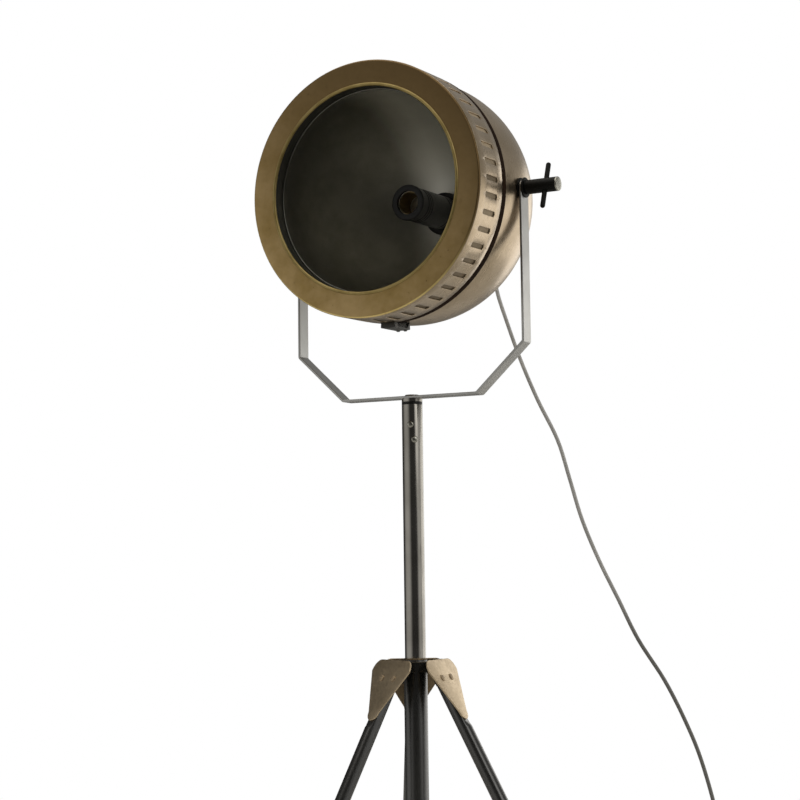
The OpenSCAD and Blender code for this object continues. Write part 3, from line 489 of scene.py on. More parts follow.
def as_object(name: str, data: Union[bpy.types.Mesh, bpy.types.Curve]) -> Piece:
    """Links a mesh or curve into the scene as an object at the origin."""
    made = bpy.data.objects.new(name, data)
    bpy.context.scene.collection.objects.link(made)
    return made


def shade(mesh: bpy.types.Mesh) -> None:
    """Shades a mesh smooth, with sharp edges kept."""
    mesh.polygons.foreach_set("use_smooth", [True] * len(mesh.polygons))
    mesh.set_sharp_from_angle(angle=SHARP_ANGLE)


def evaluated_mesh(piece: Piece) -> bpy.types.Mesh:
    """A plain mesh of a curve, or of an object with its modifiers; the object is used up."""
    bpy.context.view_layer.update()
    mesh = bpy.data.meshes.new_from_object(piece.evaluated_get(bpy.context.evaluated_depsgraph_get()))
    bpy.data.objects.remove(piece)
    return mesh


def from_bmesh(name: str, shape: bmesh.types.BMesh) -> Piece:
    """Closes a mesh's seams, turns its faces outwards and links it.

    Args:
        name: the piece's name.
        shape: its mesh, which is freed.

    Returns:
        The new object.
    """
    bmesh.ops.remove_doubles(shape, verts=shape.verts, dist=SAME_SPOT)
    bmesh.ops.recalc_face_normals(shape, faces=shape.faces)
    mesh = bpy.data.meshes.new(name)
    shape.to_mesh(mesh)
    shape.free()
    shade(mesh)
    return as_object(name, mesh)


def merged(name: str, parts: Sequence[Piece]) -> Piece:
    """Makes one object of several, which are used up."""
    shape = bmesh.new()
    for part in parts:
        shape.from_mesh(part.data)
        bpy.data.objects.remove(part)
    return from_bmesh(name, shape)


def bridge(shape: bmesh.types.BMesh, rings: Sequence[Sequence[bmesh.types.BMVert]], steps: int) -> None:
    """Joins neighbouring rings of corners with faces.

    Args:
        shape: the mesh that gets the faces.
        rings: rings of as many corners each; a ring on an axis has one corner again and again.
        steps: faces between two rings.
    """
    for ring, other in zip(rings, rings[1:]):
        for k in range(steps):
            n = (k + 1) % len(ring)
            corners = list(dict.fromkeys((ring[k], ring[n], other[n], other[k])))
            if len(corners) > 2:
                shape.faces.new(corners)


def revolve(name: str, profile: Sequence[Pair], place: Matrix, steps: int = SMALL_STEPS,
            span: Optional[Pair] = None) -> Piece:
    """Turns a closed profile about the z axis of place.

    Args:
        name: the piece's name.
        profile: corners as radius and height, in millimetres.
        place: the frame that the profile turns in.
        steps: straight pieces round the turn.
        span: first and last angle in degrees, for a piece that doesn't go all the way round.

    Returns:
        The new object.
    """
    shape = bmesh.new()
    first, last = span or (0.0, 360.0)
    count = steps + 1 if span else steps
    turns = [math.radians(first + (last - first) * k / steps) for k in range(count)]
    rings = []
    for r, h in profile:
        if r < SAME_SPOT:
            rings.append([shape.verts.new(place @ Vector((0, 0, h * MM)))] * count)
        else:
            rings.append([
                shape.verts.new(place @ Vector((r * math.cos(a) * MM, r * math.sin(a) * MM, h * MM)))
                for a in turns])
    bridge(shape, rings + rings[:1], steps)
    if span:
        for end in (0, -1):
            shape.faces.new([ring[end] for ring in rings])
    return from_bmesh(name, shape)


def swept(name: str, rings: Sequence[Sequence[Vector]]) -> Piece:
    """Joins rings of points, in metres, into a piece with closed ends."""
    shape = bmesh.new()
    loops = [[shape.verts.new(point) for point in ring] for ring in rings]
    bridge(shape, loops, len(loops[0]))
    for end in (0, -1):
        shape.faces.new(loops[end])
    return from_bmesh(name, shape)


def heading(line: Sequence[Vector], i: int) -> Vector:
    """The direction of a line of points at one of them."""
    return (line[min(i + 1, len(line) - 1)] - line[max(i - 1, 0)]).normalized()


def tube(name: str, line: Sequence[Vector], radius: float, sides: int = 16) -> Piece:
    """Sweeps a round tube along a line of points, all in metres.

    Args:
        name: the piece's name.
        line: the middle line.
        radius: the tube's radius.
        sides: its sides.

    Returns:
        The new object.
    """
    side = Vector((0.3, 0.2, 1.0))
    turns = [2 * math.pi * k / sides for k in range(sides)]
    rings = []
    for i, point in enumerate(line):
        ahead = heading(line, i)
        side = (side - ahead * side.dot(ahead)).normalized()
        across = ahead.cross(side)
        rings.append([point + radius * (math.cos(a) * side + math.sin(a) * across) for a in turns])
    return swept(name, rings)


def flat_plate(name: str, outlines: Sequence[Sequence[Pair]], thickness: float, edge: float,
               place: Matrix, edge_steps: int = 3) -> Piece:
    """Cuts a plate with softened edges, its middle plane on the x-y plane of place.

    Args:
        name: the piece's name.
        outlines: the outer line and any holes, in millimetres.
        thickness: the plate's thickness in millimetres.
        edge: the radius of its edges in millimetres.
        place: the plate's frame.
        edge_steps: steps in each edge's round.

    Returns:
        The new object.
    """
    curve = bpy.data.curves.new(name, "CURVE")
    curve.dimensions = "2D"
    curve.fill_mode = "BOTH"
    curve.extrude = (thickness / 2 - edge) * MM
    curve.bevel_depth = edge * MM
    curve.bevel_resolution = edge_steps
    curve.offset = -edge * MM
    for outline in outlines:
        spline = curve.splines.new("POLY")
        spline.points.add(len(outline) - 1)
        for point, (x, y) in zip(spline.points, outline):
            point.co = (x * MM, y * MM, 0, 1)
        spline.use_cyclic_u = True
    mesh = evaluated_mesh(as_object(name + "_line", curve))
    bpy.data.curves.remove(curve)
    shape = bmesh.new()
    shape.from_mesh(mesh)
    bpy.data.meshes.remove(mesh)
    shape.transform(place)
    return from_bmesh(name, shape)


# What repeats round an axis


def ring_of_copies() -> bpy.types.GeometryNodeTree:
    """Builds a tree that sets copies of its mesh round the z axis, as one mesh of one material."""
    tree = bpy.data.node_groups.new("ring of copies", "GeometryNodeTree")
    for label, kind in (("Geometry", "NodeSocketGeometry"), ("Count", "NodeSocketInt"),
                        ("Material", "NodeSocketMaterial")):
        tree.interface.new_socket(label, in_out="INPUT", socket_type=kind)
    tree.interface.new_socket("Geometry", in_out="OUTPUT", socket_type="NodeSocketGeometry")
    given = add_node(tree, "NodeGroupInput")
    points = add_node(tree, "GeometryNodePoints", {"Count": given.outputs["Count"]}).outputs[0]
    index = add_node(tree, "GeometryNodeInputIndex").outputs["Index"]
    share = add_node(tree, "ShaderNodeMath", {0: index, 1: given.outputs["Count"]}, operation="DIVIDE")
    angle = add_node(tree, "ShaderNodeMath", {0: share.outputs[0], 1: 2 * math.pi}, operation="MULTIPLY")
    spin = add_node(tree, "FunctionNodeAxisAngleToRotation", {"Axis": (0, 0, 1), "Angle": angle.outputs[0]})
    copies = add_node(tree, "GeometryNodeInstanceOnPoints", {
        "Points": points, "Instance": given.outputs["Geometry"], "Rotation": spin.outputs["Rotation"]})
    real = add_node(tree, "GeometryNodeRealizeInstances", {"Geometry": copies.outputs["Instances"]})
    joined = add_node(tree, "GeometryNodeMergeByDistance", {
        "Geometry": real.outputs["Geometry"], "Distance": COPY_SEAM})
    painted = add_node(tree, "GeometryNodeSetMaterial", {
        "Geometry": joined.outputs["Geometry"], "Material": given.outputs["Material"]})
    add_node(tree, "NodeGroupOutput", {"Geometry": painted.outputs["Geometry"]})
    return tree


RING = ring_of_copies()


def repeat(seed: Piece, count: int, finish: Finish, place: Matrix) -> Piece:
    """Repeats a mesh round the z axis of place, and makes the result a plain mesh.

    Args:
        seed: the object whose mesh is repeated; it is used up.
        count: how many copies.
        finish: the copies' finish.
        place: the frame of the ring.

    Returns:
        The new object, under the seed's name.
    """
    name = seed.name
    seed.name = name + "_seed"
    modifier = seed.modifiers.new("copies", "NODES")
    modifier.node_group = RING
    values = {"Count": count, "Material": finish.material()}
    for item in RING.interface.items_tree:
        if item.in_out == "INPUT" and item.name in values:
            modifier[item.identifier] = values[item.name]
    mesh = evaluated_mesh(seed)
    mesh.name = name
    mesh.transform(place)
    shade(mesh)
    return as_object(name, mesh)


# Dressing and placing


def dress(piece: Piece, body: Optional[Body], finish: Finish, slot: Slot, *nodes: str) -> Piece:
    """Gives a piece its finish and its body, and hides the nodes that it stands for.

    Args:
        piece: the new piece.
        body: the body that it rides on, or none to leave it on no body.
        finish: its finish.
        slot: not used.
        *nodes: the nodes that it replaces.

    Returns:
        The same piece.
    """
    piece.data.materials.clear()
    piece.data.materials.append(finish.material())
    if body is not None:
        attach(piece, body.value)
    if nodes:
        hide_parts(*nodes)
    LOG.info("%s on %s", piece.name, body.value if body else "a blend")
    return piece


def turned(name: str, profile: Sequence[Pair], place: Matrix, body: Body, finish: Finish, slot: Slot,
           *nodes: str, steps: int = SMALL_STEPS) -> Piece:
    """Turns a profile and dresses the piece.

    Args:
        name: the piece's name.
        profile: corners as radius and height, in millimetres.
        place: the frame that the profile turns in.
        body: the body that it rides on.
        finish: its finish.
        slot: the record's slot for it.
        *nodes: the nodes that it replaces.
        steps: straight pieces round the turn.

    Returns:
        The new piece.
    """
    return dress(revolve(name, profile, place, steps), body, finish, slot, *nodes)


def second_finish(piece: Piece, finish: Finish, chosen: Callable[[bpy.types.MeshPolygon], bool]) -> None:
    """Gives the chosen faces of a dressed piece a second finish.

    Args:
        piece: the dressed piece.
        finish: the second finish.
        chosen: says of a face whether it gets that finish.
    """
    piece.data.materials.append(finish.material())
    for face in piece.data.polygons:
        face.material_index = 1 if chosen(face) else 0


def soften(piece: Piece, width_mm: float) -> None:
    """Adds a small bevel to a piece's sharp edges."""
    bevel = piece.modifiers.new("soft edges", "BEVEL")
    bevel.width = width_mm * MM
    bevel.segments = 2
    bevel.limit_method = "ANGLE"
    bevel.angle_limit = SHARP_ANGLE


def turn(degrees: float, axis: str) -> Matrix:
    """A turn about one axis, in degrees."""
    return Matrix.Rotation(math.radians(degrees), 4, axis)


def shift(x: float = 0.0, y: float = 0.0, z: float = 0.0) -> Matrix:
    """A move in millimetres."""
    return Matrix.Translation(Vector((x, y, z)) * MM)


UPRIGHT = Matrix.Identity(4)
ALONG_X = turn(90, "Y")
ALONG_Y = turn(-90, "X")


@dataclass
class Head:
    """The drum: shell, vented band, front ring, reflector and lamp holder.

    Distances are along the drum's axis from the pivot, back positive.
    """

    pivot_z: float = PIVOT_Z
    nod: float = NOD
    drum_drop: float = DRUM_DROP
    shell_r: float = 150.0
    sheet: float = 1.2
    shell_front: float = -43.0
    band_r: float = 152.5
    band_rear: float = -55.0
    seam_step: float = 0.2
    seam_reach: float = 10.0
    ring_fit: float = 0.15
    ring_face: float = -113.5
    ring_r: float = 152.0
    ring_edge: float = 2.2
    ring_crown: float = 0.5
    ring_t: float = 1.8
    ring_skirt: float = 14.9
    skirt_gap: float = 0.3
    rim_slope: float = 0.3
    opening_r: float = 121.0
    lip_r: float = 2.2
    slot_count: int = 48
    slot_len: float = 30.0
    slot_w: float = 6.0
    slot_mid: float = -82.0
    slot_corner: float = 1.6
    slot_edge: float = 0.35
    sleeve_r: float = 121.8
    sleeve_t: float = 1.2
    sleeve_len: float = 16.0
    sleeve_flange: float = 6.0
    sleeve_roll: float = 1.1
    reflector_gap: float = 0.1
    reflector_rear: float = 100.0
    reflector_hole_r: float = 27.3
    reflector_t: float = 1.0
    reflector_flange: float = 4.0
    holder_r: float = 21.0
    holder_front: float = -5.0
    holder_lip: float = 4.0
    holder_step: float = 1.0
    holder_wall: float = 3.0
    groove_mids: tuple[float, ...] = (12.0, 17.0, 22.0, 70.0)
    groove_half: float = 1.2
    groove_depth: float = 0.8
    collar_front: float = 88.0
    collar_rear: float = 112.0
    collar_r: float = 27.0
    collar_floor: float = 8.0
    socket_r: float = 13.3
    nipple_r: float = 5.0
    nipple_reach: float = 9.0
    gland_len: float = 37.0
    gland_sink: float = 0.3
    gland_base_r: float = 10.0
    gland_base_h: float = 10.0
    gland_soft: float = 1.5
    gland_cone_r: float = 7.0
    gland_tip_r: float = 4.25
    gland_tip_soft: float = 0.4
    gland_grooves: int = 6
    gland_groove: float = 0.7
    cord_r: float = 2.5
    arm_out: float = 155.25
    face_gap: float = 0.25
    bolt_r: float = 7.0
    bolt_h: float = 7.0
    bolt_dome: float = 4.2
    pivot_r: float = 4.0
    nut_reach: float = 7.0
    clip_arc: float = 7.0
    clip_steps: int = 12
    clip_gap: float = 0.1
    clip_proud: float = 6.5
    clip_reach: float = 5.0
    clip_back: float = 21.0
    clip_foot: float = 7.5
    clip_t: float = 1.5
    clip_edge: float = 0.3
    arc_steps: int = 40

    def axis(self) -> Matrix:
        """The frame of the drum's turned pieces: origin on the drum's axis, z along it to the back."""
        return shift(z=self.pivot_z) @ turn(self.nod, "X") @ shift(z=-self.drum_drop) @ ALONG_Y

    def drum_piece(self, name: str, profile: Sequence[Pair], finish: Finish, slot: Slot, *nodes: str,
                   steps: int = DRUM_STEPS) -> Piece:
        """Turns and dresses a piece about the drum's axis."""
        return turned(name, profile, self.axis(), Body.HEAD, finish, slot, *nodes, steps=steps)

    def shell(self) -> None:
        """Spins the rear shell: a straight drum with a half ball behind it, its front edge turned over."""
        half = self.sheet / 2
        hole = math.degrees(math.acos((self.nipple_r + 2 * PLAY) / self.shell_r))
        edge = arc((self.shell_r - half, self.shell_front + half), half, -180, 0, 6)
        outside = arc((0, 0), self.shell_r, 0, hole, self.arc_steps)
        inside = arc((0, 0), self.shell_r - self.sheet, hole, 0, self.arc_steps)
        self.drum_piece("drum_shell", edge + outside + inside, SPUN_BRONZE, Slot.BRONZE, "rear_shell")

    def vent_sector(self) -> Piece:
        """One sector of the band's skin with its slot, about the z axis.

        Returns:
            The sector, to be repeated round the drum.
        """
        half = 180 / self.slot_count
        reach = math.degrees(self.slot_w / 2 / self.band_r)
        corner = math.degrees(self.slot_corner / self.band_r)
        low, high = self.slot_mid - self.slot_len / 2, self.slot_mid + self.slot_len / 2
        turns = [math.radians(a) for a in (-half, -reach, corner - reach, 0, reach - corner, reach, half)]
        heights = [self.ring_face + self.ring_edge, low, low + self.slot_corner, self.slot_mid,
                   high - self.slot_corner, high, self.band_rear]
        shape = bmesh.new()
        grid = [[shape.verts.new(Vector((self.band_r * math.cos(a), self.band_r * math.sin(a), h)) * MM)
                 for a in turns] for h in heights]
        last = len(turns) - 2
        for i in range(last + 1):
            for k in range(last + 1):
                cell = [grid[i][k], grid[i][k + 1], grid[i + 1][k + 1], grid[i + 1][k]]
                in_slot = 0 < i < last and 0 < k < last
                at_corner = i in (1, last - 1) and k in (1, last - 1)
                if in_slot and not at_corner:
                    continue
                if in_slot:
                    dropped = (2 if i == 1 else 0) if k == 1 else (3 if i == 1 else 1)
                    cell.pop(dropped)
                shape.faces.new(cell)
        return from_bmesh("vent_band", shape)

    def band(self) -> None:
        """Rolls the vented band."""
        skin = repeat(self.vent_sector(), self.slot_count, SPUN_BRONZE, self.axis())
        wall = skin.modifiers.new("wall", "SOLIDIFY")
        wall.thickness = self.sheet * MM
        wall.offset = -1
        soften(skin, self.slot_edge)
        dress(skin, Body.HEAD, SPUN_BRONZE, Slot.BRONZE, "front_band")

    def seam(self) -> None:
        """Turns the bead that joins the band to the shell; its near black is a painted shadow of the gap
        between them.
        """
        shell_seat = self.shell_r - self.sheet - self.ring_fit
        band_seat = self.band_r - self.sheet - self.ring_fit
        proud = self.band_r - self.seam_step
        inside = shell_seat - 2 * self.sheet
        low, high = self.band_rear - self.seam_reach, self.shell_front + self.seam_reach
        front, back = self.band_rear + self.face_gap, self.shell_front - self.face_gap
        profile = [(inside, low), (band_seat, low), (band_seat, front), (proud, front), (proud, back),
                   (shell_seat, back), (shell_seat, high), (inside, high)]
        bead = rounded(profile, [0, 0, 0, 0.6, 1.6, 0, 0, 0], 4)
        self.drum_piece("seam_bead", bead, SEAM_SHADOW_BLACK, Slot.SATIN, "seam_ring")

    def ring(self) -> None:
        """Presses the front ring: a crowned face, a turned edge outside and a skirt inside the band."""
        face, soft = self.ring_face, self.ring_edge
        inside, edge_r = self.opening_r + self.lip_r, self.ring_r - soft
        skirt_r = self.band_r - self.sheet - self.ring_fit
        rear, skirt_end = face + self.ring_t, face + self.ring_skirt
        profile = [(inside, face), ((inside + edge_r) / 2, face - self.ring_crown)]
        profile += arc((edge_r, face + soft), soft, -90, 0, 8)
        profile += [(skirt_r, face + soft + self.skirt_gap), (skirt_r, skirt_end),
                    (skirt_r - self.sheet, skirt_end), (skirt_r - self.sheet, rear), (inside, rear)]
        piece = self.drum_piece("front_ring_face", profile, ANTIQUE_BRASS, Slot.BRASS, "front_ring")
        to_drum = self.axis().inverted()

        def on_rim(polygon: bpy.types.MeshPolygon) -> bool:
            """Whether a face is on the ring's outer edge."""
            spot = (to_drum @ polygon.center).xy / MM
            outwards = (to_drum.to_3x3() @ polygon.normal).xy.dot(spot.normalized())
            return outwards > self.rim_slope and spot.length > edge_r

        # The outer edge gets the rim's painted highlight, which fades into painted shade above.
        second_finish(piece, RIM_HIGHLIGHT_BRASS, on_rim)
        lip = circle(self.lip_r, 20, (inside, face + self.lip_r / 3))
        self.drum_piece("front_ring_lip", lip, LIP_BRASS, Slot.BRASS)

    def inside(self) -> None:
        """Makes the black sleeve behind the opening and the bowl of the reflector."""
        r, t, roll = self.sleeve_r, self.sleeve_t, self.sleeve_roll
        front = self.ring_face + self.lip_r * 4 / 3 + PLAY
        rear, wide = front + self.sleeve_len, r + self.sleeve_flange
        sleeve = [(r, front), (wide, front), (wide, front + t), (r + t, front + t), (r + t, rear), (r, rear)]
        self.drum_piece("black_sleeve", rounded(sleeve, 0.4, 3), SATIN_BLACK, Slot.SATIN, "inner_sleeve")
        bead = circle(roll, 16, (r - roll / 2, rear - roll))
        self.drum_piece("sleeve_rolled_edge", bead, ROLLED_STEEL, Slot.SATIN)
        start, back = rear + self.reflector_gap, self.reflector_rear
        hole, flange = self.reflector_hole_r, r + self.reflector_flange
        mid = (hole ** 2 + back ** 2 - r ** 2 - start ** 2) / (2 * (back - start))
        ball = math.hypot(r, start - mid)
        first = math.degrees(math.atan2(start - mid, r))
        last = math.degrees(math.atan2(back - mid, hole))
        bowl = arc((0, mid), ball, first, last, 2 * self.arc_steps)
        bowl += arc((0, mid), ball + self.reflector_t, last, first, 2 * self.arc_steps)
        bowl += [(flange, start + self.reflector_t), (flange, start)]
        # The bowl's right side is painted light.
        self.drum_piece("reflector_bowl", bowl, DULL_ALUMINIUM, Slot.SATIN, "reflector")

    def holder(self) -> None:
        """Turns the lamp holder: front ring, ribbed body and rear collar."""
        r, front, lip = self.holder_r, self.holder_front, self.holder_front + self.holder_lip
        ring = block(self.socket_r + self.holder_step, r + self.holder_step, front, lip)
        bore, nipple = r - self.holder_wall, self.nipple_r + PLAY
        body = [(bore, lip + PLAY), (r, lip + PLAY)]
        for mid in self.groove_mids:
            body += groove(r, mid, self.groove_half, self.groove_depth)
        near, far = self.collar_front, self.collar_rear
        body += [(r, near), (bore, near)]
        floor = far - self.collar_floor
        collar = [(bore, near), (self.collar_r, near), (self.collar_r, far), (nipple, far), (nipple, floor),
                  (bore, floor)]
        for name, profile, node in (
                ("holder_front_ring", rounded(ring, [0.6, 1.4, 0.4, 0.4]), "holder_ring"),
                ("holder_body_tube", body, "holder_body"),
                ("holder_collar", rounded(collar, [0.4, 2.5, 2.0, 0.4, 0.4, 0.4]), "holder_base")):
            self.drum_piece(name, profile, PHENOLIC, Slot.PLASTIC, node, steps=SMALL_STEPS)

    def gland(self) -> None:
        """Moulds the tapered strain relief, with grooves round its cone."""
        r, soft, depth = self.gland_base_r, self.gland_soft, self.gland_groove
        base, tip = self.shell_r + PLAY, self.shell_r + self.gland_len
        shoulder, floor = self.shell_r + self.gland_base_h, self.shell_r + self.nipple_reach
        bore, nipple = self.cord_r + PLAY, self.nipple_r + PLAY
        profile = [(r, base - self.gland_sink), (r, shoulder - soft), (r - soft, shoulder),
                   (self.gland_cone_r, shoulder)]
        profile += ribbed((self.gland_cone_r, shoulder), (self.gland_tip_r, tip), self.gland_grooves,
                          ((0.30, 0.0), (0.42, depth), (0.72, depth), (0.84, 0.0)))
        profile += [(self.gland_tip_r - self.gland_tip_soft, tip), (bore, tip), (bore, floor),
                    (nipple, floor), (nipple, base)]
        self.drum_piece("strain_relief", profile, PHENOLIC, Slot.PLASTIC, "cord_gland", steps=SMALL_STEPS)

    def left_pivot(self) -> None:
        """Turns the left pivot's bolt with its domed head."""
        seat = -self.arm_out - self.face_gap
        inside = -self.shell_r + self.nut_reach
        dome = arc((0.0, seat - self.bolt_h + self.bolt_dome), self.bolt_r, -90, 0, 8, self.bolt_dome)
        profile = dome + [(self.bolt_r, seat), (self.pivot_r, seat), (self.pivot_r, inside), (0.0, inside)]
        turned("pivot_bolt_dome", profile, shift(z=self.pivot_z) @ ALONG_X, Body.HEAD, ZINC, Slot.STEEL,
               "pivot_bolt")

    def clip(self) -> None:
        """Bends the keeper clip that bridges the seam at the bottom of the drum."""
        out, foot, half = self.band_r + self.clip_proud, self.clip_foot, self.clip_arc / 2
        front, rear = self.band_rear - self.clip_reach, self.shell_front + self.clip_back
        band, shell = self.band_r + self.clip_gap, self.shell_r + self.clip_gap
        under = out - self.clip_t
        profile = [(band, front), (out, front), (out, rear), (shell, rear), (shell, rear - foot),
                   (under, rear - foot), (under, front + foot), (band, front + foot)]
        bent = rounded(profile, [0.3, 1.2, 1.2, 0.3, 0.3, 0.6, 0.6, 0.3], 3)
        piece = revolve("seam_keeper", bent, self.axis(), self.clip_steps, (90 - half, 90 + half))
        soften(piece, self.clip_edge)
        dress(piece, Body.HEAD, SATIN_BLACK, Slot.SATIN, "seam_clip")

    def build(self) -> None:
        """Builds every piece of the head."""
        self.shell()
        self.band()
        self.seam()
        self.ring()
        self.inside()
        self.holder()
        self.gland()
        self.left_pivot()
        self.clip()


@dataclass
class Handle:
    """The T-handle that turns in the head's right pivot."""

    pivot_z: float = PIVOT_Z
    rod_front: float = 155.5
    rod_reach: float = 199.25
    rod_r: float = 8.5
    washer_r: float = 12.0
    washer_t: float = 1.5
    shank_r: float = 4.0
    shank_end: float = 143.0
    cap_t: float = 2.0
    bar_reach: float = 182.25
    bar_r: float = 3.0
    bar_len: float = 61.0
    bar_turn: float = 20.0

    def build(self) -> None:
        """Turns the rod, its bare end, its washer and the cross bar."""
        axis = shift(z=self.pivot_z) @ ALONG_X
        front, end = self.rod_front + self.washer_t, self.rod_reach - self.cap_t
        rod = [(0.0, self.shank_end), (self.shank_r, self.shank_end), (self.shank_r, front),
               (self.rod_r, front), (self.rod_r, end), (0.0, end)]
        cap = block(0.0, self.rod_r, end, self.rod_reach)
        washer = block(self.shank_r + PLAY, self.washer_r, self.rod_front, front)
        turned("tilt_handle_rod", rounded(rod, [0, 0.5, 0, 0.6, 0.2, 0]), axis, Body.HANDLE, MATT_ENAMEL,
               Slot.ENAMEL, "handle_rod")
        turned("tilt_handle_end", rounded(cap, [0, 0.1, 0.9, 0]), axis, Body.HANDLE, ZINC, Slot.STEEL,
               "handle_cap")
        turned("tilt_handle_washer", rounded(washer, 0.3, 3), axis, Body.HANDLE, MATT_ENAMEL, Slot.SATIN,
               "handle_washer")
        straight = self.bar_len / 2 - self.bar_r
        bar = arc((0, -straight), self.bar_r, -90, 0, 8) + arc((0, straight), self.bar_r, 0, 90, 8)
        across = shift(self.bar_reach, 0, self.pivot_z) @ turn(-self.bar_turn, "X")
        turned("tilt_handle_bar", bar, across, Body.HANDLE, MATT_ENAMEL, Slot.ENAMEL, "handle_bar",
               steps=ROD_STEPS)


@dataclass
class Yoke:
    """The bent strip that carries the head."""

    base_z: float = 1000.0
    pivot_h: float = 242.0
    arm_x: float = 153.75
    flat: float = 184.0
    rise: float = 58.5
    strip_w: float = 20.0
    strip_t: float = 3.0
    bend_r: float = 3.0
    edge: float = 0.5
    top_from: float = 8.6
    top_to: float = 86.0

    def path(self) -> list[tuple[Vector, float]]:
        """The strip's middle line in the x-z plane, with its half width at each point.

        Returns:
            Points and half widths, from the top of the left arm to the top of the right arm.
        """
        half, low = self.strip_w / 2, self.strip_t / 2
        slope = math.atan(self.rise / (self.arm_x + low - self.flat / 2))
        high = self.rise + low * math.tan(math.radians(45) - slope / 2)
        foot = self.flat / 2 - low * math.tan(slope / 2)
        corners = [(-self.arm_x, self.pivot_h), (-self.arm_x, high), (-foot, low), (foot, low),
                   (self.arm_x, high), (self.arm_x, self.pivot_h)]
        bent = rounded(corners, [0.0] + [self.bend_r] * 4 + [0.0], 6)
        top = arc((0.0, self.pivot_h), half, self.top_from, self.top_to, 9)
        left = [(Vector((-self.arm_x, 0, z)), w) for w, z in top]
        right = [(Vector((self.arm_x, 0, z)), w) for w, z in top]
        return left[::-1] + [(Vector((x, 0, z)), half) for x, z in bent] + right

    def build(self) -> None:
        """Sweeps the strip's rounded section along its middle line."""
        line = self.path()
        points = [point for point, _ in line]
        t = self.strip_t / 2
        rings = []
        for i, (point, half) in enumerate(line):
            ahead = heading(points, i)
            out = Vector((ahead.z, 0, -ahead.x))
            soft = min(self.edge, half / 2)
            section = [(half, t - soft), (half - soft, t), (soft - half, t), (-half, t - soft),
                       (-half, soft - t), (soft - half, -t), (half - soft, -t), (half, soft - t)]
            rings.append([(point + Vector((0, y, self.base_z)) + out * n) * MM for y, n in section])
        dress(swept("yoke_bent_strip", rings), Body.YOKE, SATIN_NICKEL, Slot.NICKEL, "yoke_strip")


@dataclass
class Mast:
    """The mast and the two screws that hold the yoke's spigot, each at its height and angle."""

    radius: float = 12.5
    wall: float = 1.5
    low: float = 467.0
    top: float = 992.75
    screws: tuple[Pair, ...] = ((968.0, -73.5), (950.0, -49.5))
    screw_r: float = 4.0
    screw_h: float = 2.6
    screw_edge: float = 0.9
    screw_sink: float = 0.7
    shank_r: float = 2.0
    shank_tip: float = 8.05

    def build(self) -> None:
        """Draws the tube and turns its screws."""
        wall = rounded(block(self.radius - self.wall, self.radius, self.low, self.top), 0.4, 3)
        turned("mast_nickel_tube", wall, UPRIGHT, Body.MAST, BLACK_NICKEL, Slot.DARK_NICKEL, "mast_tube",
               steps=TUBE_STEPS)
        profile = domed_screw(self.shank_tip, self.radius - self.screw_sink, self.screw_edge, self.screw_h,
                              self.screw_r, self.shank_r)
        pair = [revolve("pan_lock_screw", profile, shift(z=z) @ turn(angle, "Z") @ ALONG_X, ROD_STEPS)
                for z, angle in self.screws]
        dress(merged("pan_lock_domes", pair), Body.MAST, ZINC, Slot.STEEL, "pan_lock_screws")


